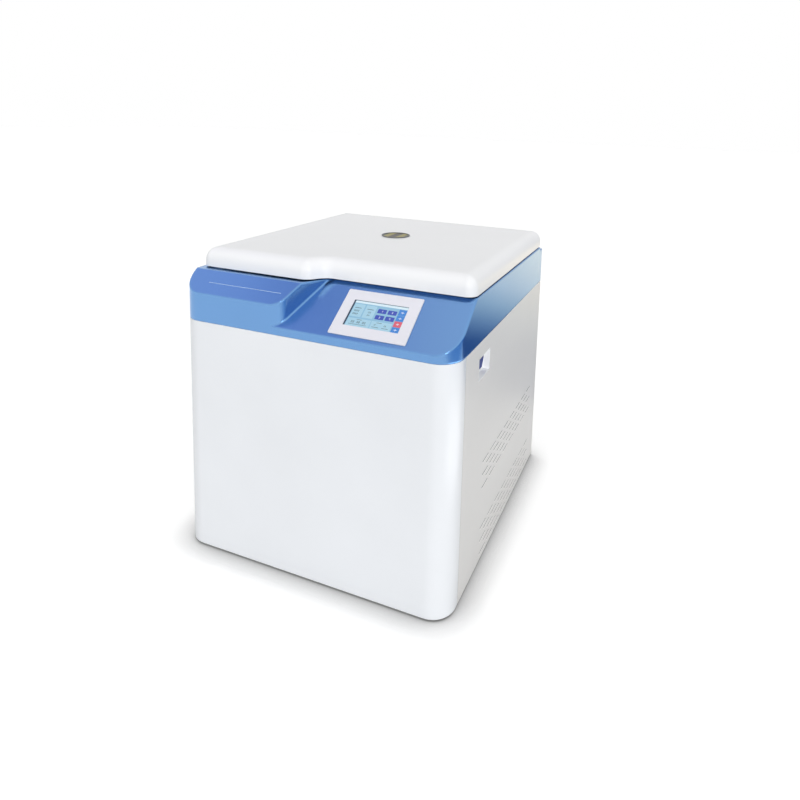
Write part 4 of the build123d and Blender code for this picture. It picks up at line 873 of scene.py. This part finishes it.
def display_picture():
    """The touch panel's picture: fields with numbers, four buttons and a column of keys."""
    ground = lit("screen_ground", srgb(132, 178, 204))
    field = lit("screen_field", srgb(156, 196, 214))
    pale = lit("screen_header", srgb(204, 224, 232))
    deep = lit("screen_button", srgb(48, 72, 168))
    key_blue = lit("screen_key_blue", srgb(52, 124, 200))
    key_red = lit("screen_key_red", srgb(206, 84, 104))
    dark = lit("screen_numbers", srgb(92, 108, 120), 0.1)
    white = lit("screen_signs", srgb(216, 228, 240))
    # The dark border along the picture's left and top is painted shadow, where the bezel's edge shades the
    # glass.
    edge = lit("screen_edge_shade", srgb(46, 60, 78), 0.0)
    marks = [bar for entry in NUMBERS for bar in number(*entry)] + list(RULES)
    screen_layer("screen_border_shade", 1, edge, [WINDOW])
    screen_layer("screen_ground", 2, ground, [GROUND])
    screen_layer("screen_header", 3, pale, [HEADER])
    screen_layer("screen_fields", 3, field, FIELDS, 0.8)
    screen_layer("screen_buttons", 3, deep, BUTTONS, 1.6)
    screen_layer("screen_keys", 3, key_blue, KEYS, 0.6)
    screen_layer("screen_stop_key", 3, key_red, [STOP_KEY], 0.6)
    screen_layer("screen_numbers", 4, dark, marks)
    screen_layer("screen_signs", 4, white, screen_signs())


display_picture()

# Inlay on the left block, as places on its slope
INLAY_LEFT = -318 * MM
INLAY_RIGHT = -92 * MM
INLAY_LOW = 37.4 * MM
INLAY_HIGH = 38.6 * MM
INLAY_IN = -0.4 * MM
INLAY_OUT = 0.15 * MM
INLAY_CORNER = 0.5 * MM


def inlay_line():
    """A thin bright strip let into the left block's sloped face."""
    bm = bmesh.new()
    block = Slope(LEFT_LIP)
    block.plate(bm, INLAY_LEFT, INLAY_RIGHT, INLAY_LOW, INLAY_HIGH, INLAY_IN, INLAY_OUT, INLAY_CORNER)
    obj = new_object("collar_inlay", bm, False)
    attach(obj, "cabinet")
    obj.data.materials.append(painted("inlay_silver", srgb(178, 204, 236), 0.3, peel=0.0))


inlay_line()

# Floor and world
FLOOR_HALF = 30.0
FLOOR_PALE = (0.86, 0.86, 0.86)
FLOOR_GLOW = 0.39
FLOOR_PLAIN = 0.53
SHADOW_REACH = 90 * MM
SHADOW_TONE = 0.30
SHADOW_START = 0.33
SHADOW_END = 0.98
WORLD_LIGHT = 0.30


def make_floor():
    """A plain pale floor that keeps the object's shadow and shows white to the camera."""
    bm = bmesh.new()
    bmesh.ops.create_grid(bm, x_segments=1, y_segments=1, size=FLOOR_HALF)
    floor = new_object("floor", bm, False)
    material = bpy.data.materials.new("floor")
    made = Nodes(material)
    openness = made.openness(SHADOW_REACH, samples=16)
    closeness = made.span(openness, SHADOW_TONE, 1.0, SHADOW_START, SHADOW_END)
    pale = made.node("ShaderNodeBsdfDiffuse")
    made.feed(pale.inputs["Color"], made.times(FLOOR_PALE, closeness))
    glow = made.node("ShaderNodeEmission")
    made.feed(glow.inputs["Strength"], made.compute("MULTIPLY", closeness, FLOOR_GLOW))
    both = made.node("ShaderNodeAddShader")
    made.feed(both.inputs[0], pale.outputs[0])
    made.feed(both.inputs[1], glow.outputs[0])
    plain = made.node("ShaderNodeBsdfDiffuse")
    made.feed(plain.inputs["Color"], grey(FLOOR_PLAIN))
    mix = made.node("ShaderNodeMixShader")
    made.feed(mix.inputs[0], made.seen_rays())
    made.feed(mix.inputs[1], plain.outputs[0])
    made.feed(mix.inputs[2], both.outputs[0])
    output = made.node("ShaderNodeOutputMaterial")
    made.feed(output.inputs["Surface"], mix.outputs[0])
    floor.data.materials.append(material)


def make_world():
    """White behind the object, and a plain soft light on it."""
    world = bpy.data.worlds.new("studio")
    bpy.context.scene.world = world
    made = Nodes(world)
    back = made.node("ShaderNodeBackground")
    made.feed(back.inputs["Color"], grey(1.0))
    made.feed(back.inputs["Strength"], made.span(made.seen_rays(), WORLD_LIGHT, 1.0))
    output = made.node("ShaderNodeOutputWorld")
    made.feed(output.inputs["Surface"], back.outputs[0])


# Lamps and reflection cards
def add_sun(name, travel, strength, spread):
    """A broad soft light that travels along a direction and shows in no reflection."""
    data = bpy.data.lights.new(name, "SUN")
    data.energy = strength
    data.angle = math.radians(spread)
    lamp = bpy.data.objects.new(name, data)
    lamp.rotation_mode = "QUATERNION"
    lamp.rotation_quaternion = Vector(travel).to_track_quat("-Z", "Y")
    lamp.visible_glossy = False
    bpy.context.scene.collection.objects.link(lamp)


def add_card(name, rows, strength=1.0):
    """A flat card that only shows in reflections, with its colour run from row to row."""
    corners = [corner for row in rows for corner in row[:2]]
    colours = [row[2] for row in rows for _ in row[:2]]
    faces = [(i, i + 1, i + 3, i + 2) for i in range(0, len(corners) - 2, 2)]
    mesh = bpy.data.meshes.new(name)
    mesh.from_pydata(corners, [], faces)
    card = bpy.data.objects.new(name, mesh)
    bpy.context.scene.collection.objects.link(card)
    card.visible_camera = False
    card.visible_diffuse = False
    card.visible_transmission = False
    card.visible_shadow = False
    tint = mesh.color_attributes.new("tint", "FLOAT_COLOR", "POINT")
    for place, colour in zip(tint.data, colours):
        place.color = colour
    material = bpy.data.materials.new(name)
    made = Nodes(material)
    glow = made.node("ShaderNodeEmission")
    made.feed(glow.inputs["Strength"], strength)
    tinted = made.node("ShaderNodeVertexColor", layer_name="tint")
    made.feed(glow.inputs["Color"], tinted.outputs["Color"])
    output = made.node("ShaderNodeOutputMaterial")
    made.feed(output.inputs["Surface"], glow.outputs[0])
    card.data.materials.append(material)


# Suns: name, direction of travel, strength and spread in degrees
SUNS = (
    ("key", (-0.54, 0.84, -0.18), 2.25, 40.0),
    ("top", (0.1, 0.1, -1.0), 1.07, 70.0),
    ("side", (-1.0, -0.6, -0.08), 0.27, 25.0),
)

# Cards: places in metres, stops of (place, colour) along them, and rows of two corners and a colour
CARD_LEFT_X = 0.4
CARD_RIGHT_X = 1.6
CARD_BACK_Y = 0.725
CARD_LOW_Z = 0.06
CARD_HIGH_Z = 1.1
CEILING_Z = 3.0
CEILING_FRONT_Y = -1.6
CEILING_BACK_Y = 0.9
DEEP = (0.02, 0.09, 0.26, 1.0)
CORNER_BLUE = (0.16, 0.38, 0.66, 1.0)
LID_SIDE_GREY = (0.74, 0.75, 0.77, 1.0)
SIDE_STOPS = (
    (CARD_LOW_Z, DEEP),
    (0.27, DEEP),
    (0.35, (0.28, 0.40, 0.52, 1.0)),
    (0.43, (0.66, 0.76, 0.74, 1.0)),
    (0.52, (1.12, 1.08, 0.92, 1.0)),
    (0.60, (1.38, 1.25, 0.98, 1.0)),
    (0.68, (1.55, 1.38, 1.05, 1.0)),
    (0.74, LID_SIDE_GREY),
    (CARD_HIGH_Z, LID_SIDE_GREY),
)
CORNER_STOPS = (
    (-2.2, grey(1.0)),
    (-1.3, (0.46, 0.62, 0.82, 1.0)),
    (-0.6, CORNER_BLUE),
    (CARD_BACK_Y, CORNER_BLUE),
)
CEILING_STOPS = (
    (-3.4, (0.80, 0.78, 0.95, 1.0)),
    (-2.0, (0.72, 0.70, 0.95, 1.0)),
    (-1.34, (0.42, 0.45, 0.74, 1.0)),
    (-0.5, (0.95, 0.88, 0.92, 1.0)),
    (0.1, grey(1.0)),
)
SIDE_CARD = [
    ((CARD_LEFT_X, CARD_BACK_Y, z), (CARD_RIGHT_X, CARD_BACK_Y, z), tint) for z, tint in SIDE_STOPS
]
CORNER_CARD = [
    ((CARD_RIGHT_X, y, CARD_LOW_Z), (CARD_RIGHT_X, y, CARD_HIGH_Z), tint) for y, tint in CORNER_STOPS
]
CEILING_CARD = [
    ((x, CEILING_FRONT_Y, CEILING_Z), (x, CEILING_BACK_Y, CEILING_Z), tint) for x, tint in CEILING_STOPS
]
FLOOR_LAMP = [((0.9, y, 0.01), (1.5, y, 0.01), grey(1.0)) for y in (-0.75, 0.3)]
FLOOR_LAMP_STRENGTH = 3.0
SPARK_LAMP = [((1.45, -2.6, z), (1.8, -2.35, z), grey(1.0)) for z in (1.5, 1.85)]
SPARK_STRENGTH = 14.0


def make_lights():
    """The suns, and the room that the glossy faces mirror."""
    for sun in SUNS:
        add_sun(*sun)
    add_card("side_card", SIDE_CARD)
    add_card("corner_card", CORNER_CARD)
    add_card("floor_lamp", FLOOR_LAMP, FLOOR_LAMP_STRENGTH)
    add_card("ceiling_card", CEILING_CARD)
    add_card("spark_lamp", SPARK_LAMP, SPARK_STRENGTH)


# Camera, as solved from the photograph's corners
CAMERA_PLACE = (0.830885, -1.677386, 1.191183)
CAMERA_RIGHT = Vector((0.928969, 0.368879, 0.030757))
CAMERA_DOWN = Vector((0.078765, -0.115802, -0.990144))
CAMERA_AHEAD = Vector((-0.361681, 0.922236, -0.136631))
SENSOR_WIDTH = 36.0
LENS = 28.335
SHIFT_X = -0.04945
SHIFT_Y = -0.24647


def make_camera():
    """The photograph's view: a little above the lid, from the front right."""
    data = bpy.data.cameras.new("camera")
    data.sensor_width = SENSOR_WIDTH
    data.lens = LENS
    data.shift_x = SHIFT_X
    data.shift_y = SHIFT_Y
    data.clip_start = 0.05
    data.clip_end = 100.0
    camera = bpy.data.objects.new("camera", data)
    turn = Matrix((CAMERA_RIGHT, -CAMERA_DOWN, -CAMERA_AHEAD)).transposed()
    camera.matrix_world = Matrix.Translation(CAMERA_PLACE) @ turn.to_4x4()
    bpy.context.scene.collection.objects.link(camera)
    bpy.context.scene.camera = camera


make_floor()
make_world()
make_lights()
make_camera()

view = bpy.context.scene.view_settings
view.view_transform = "Standard"
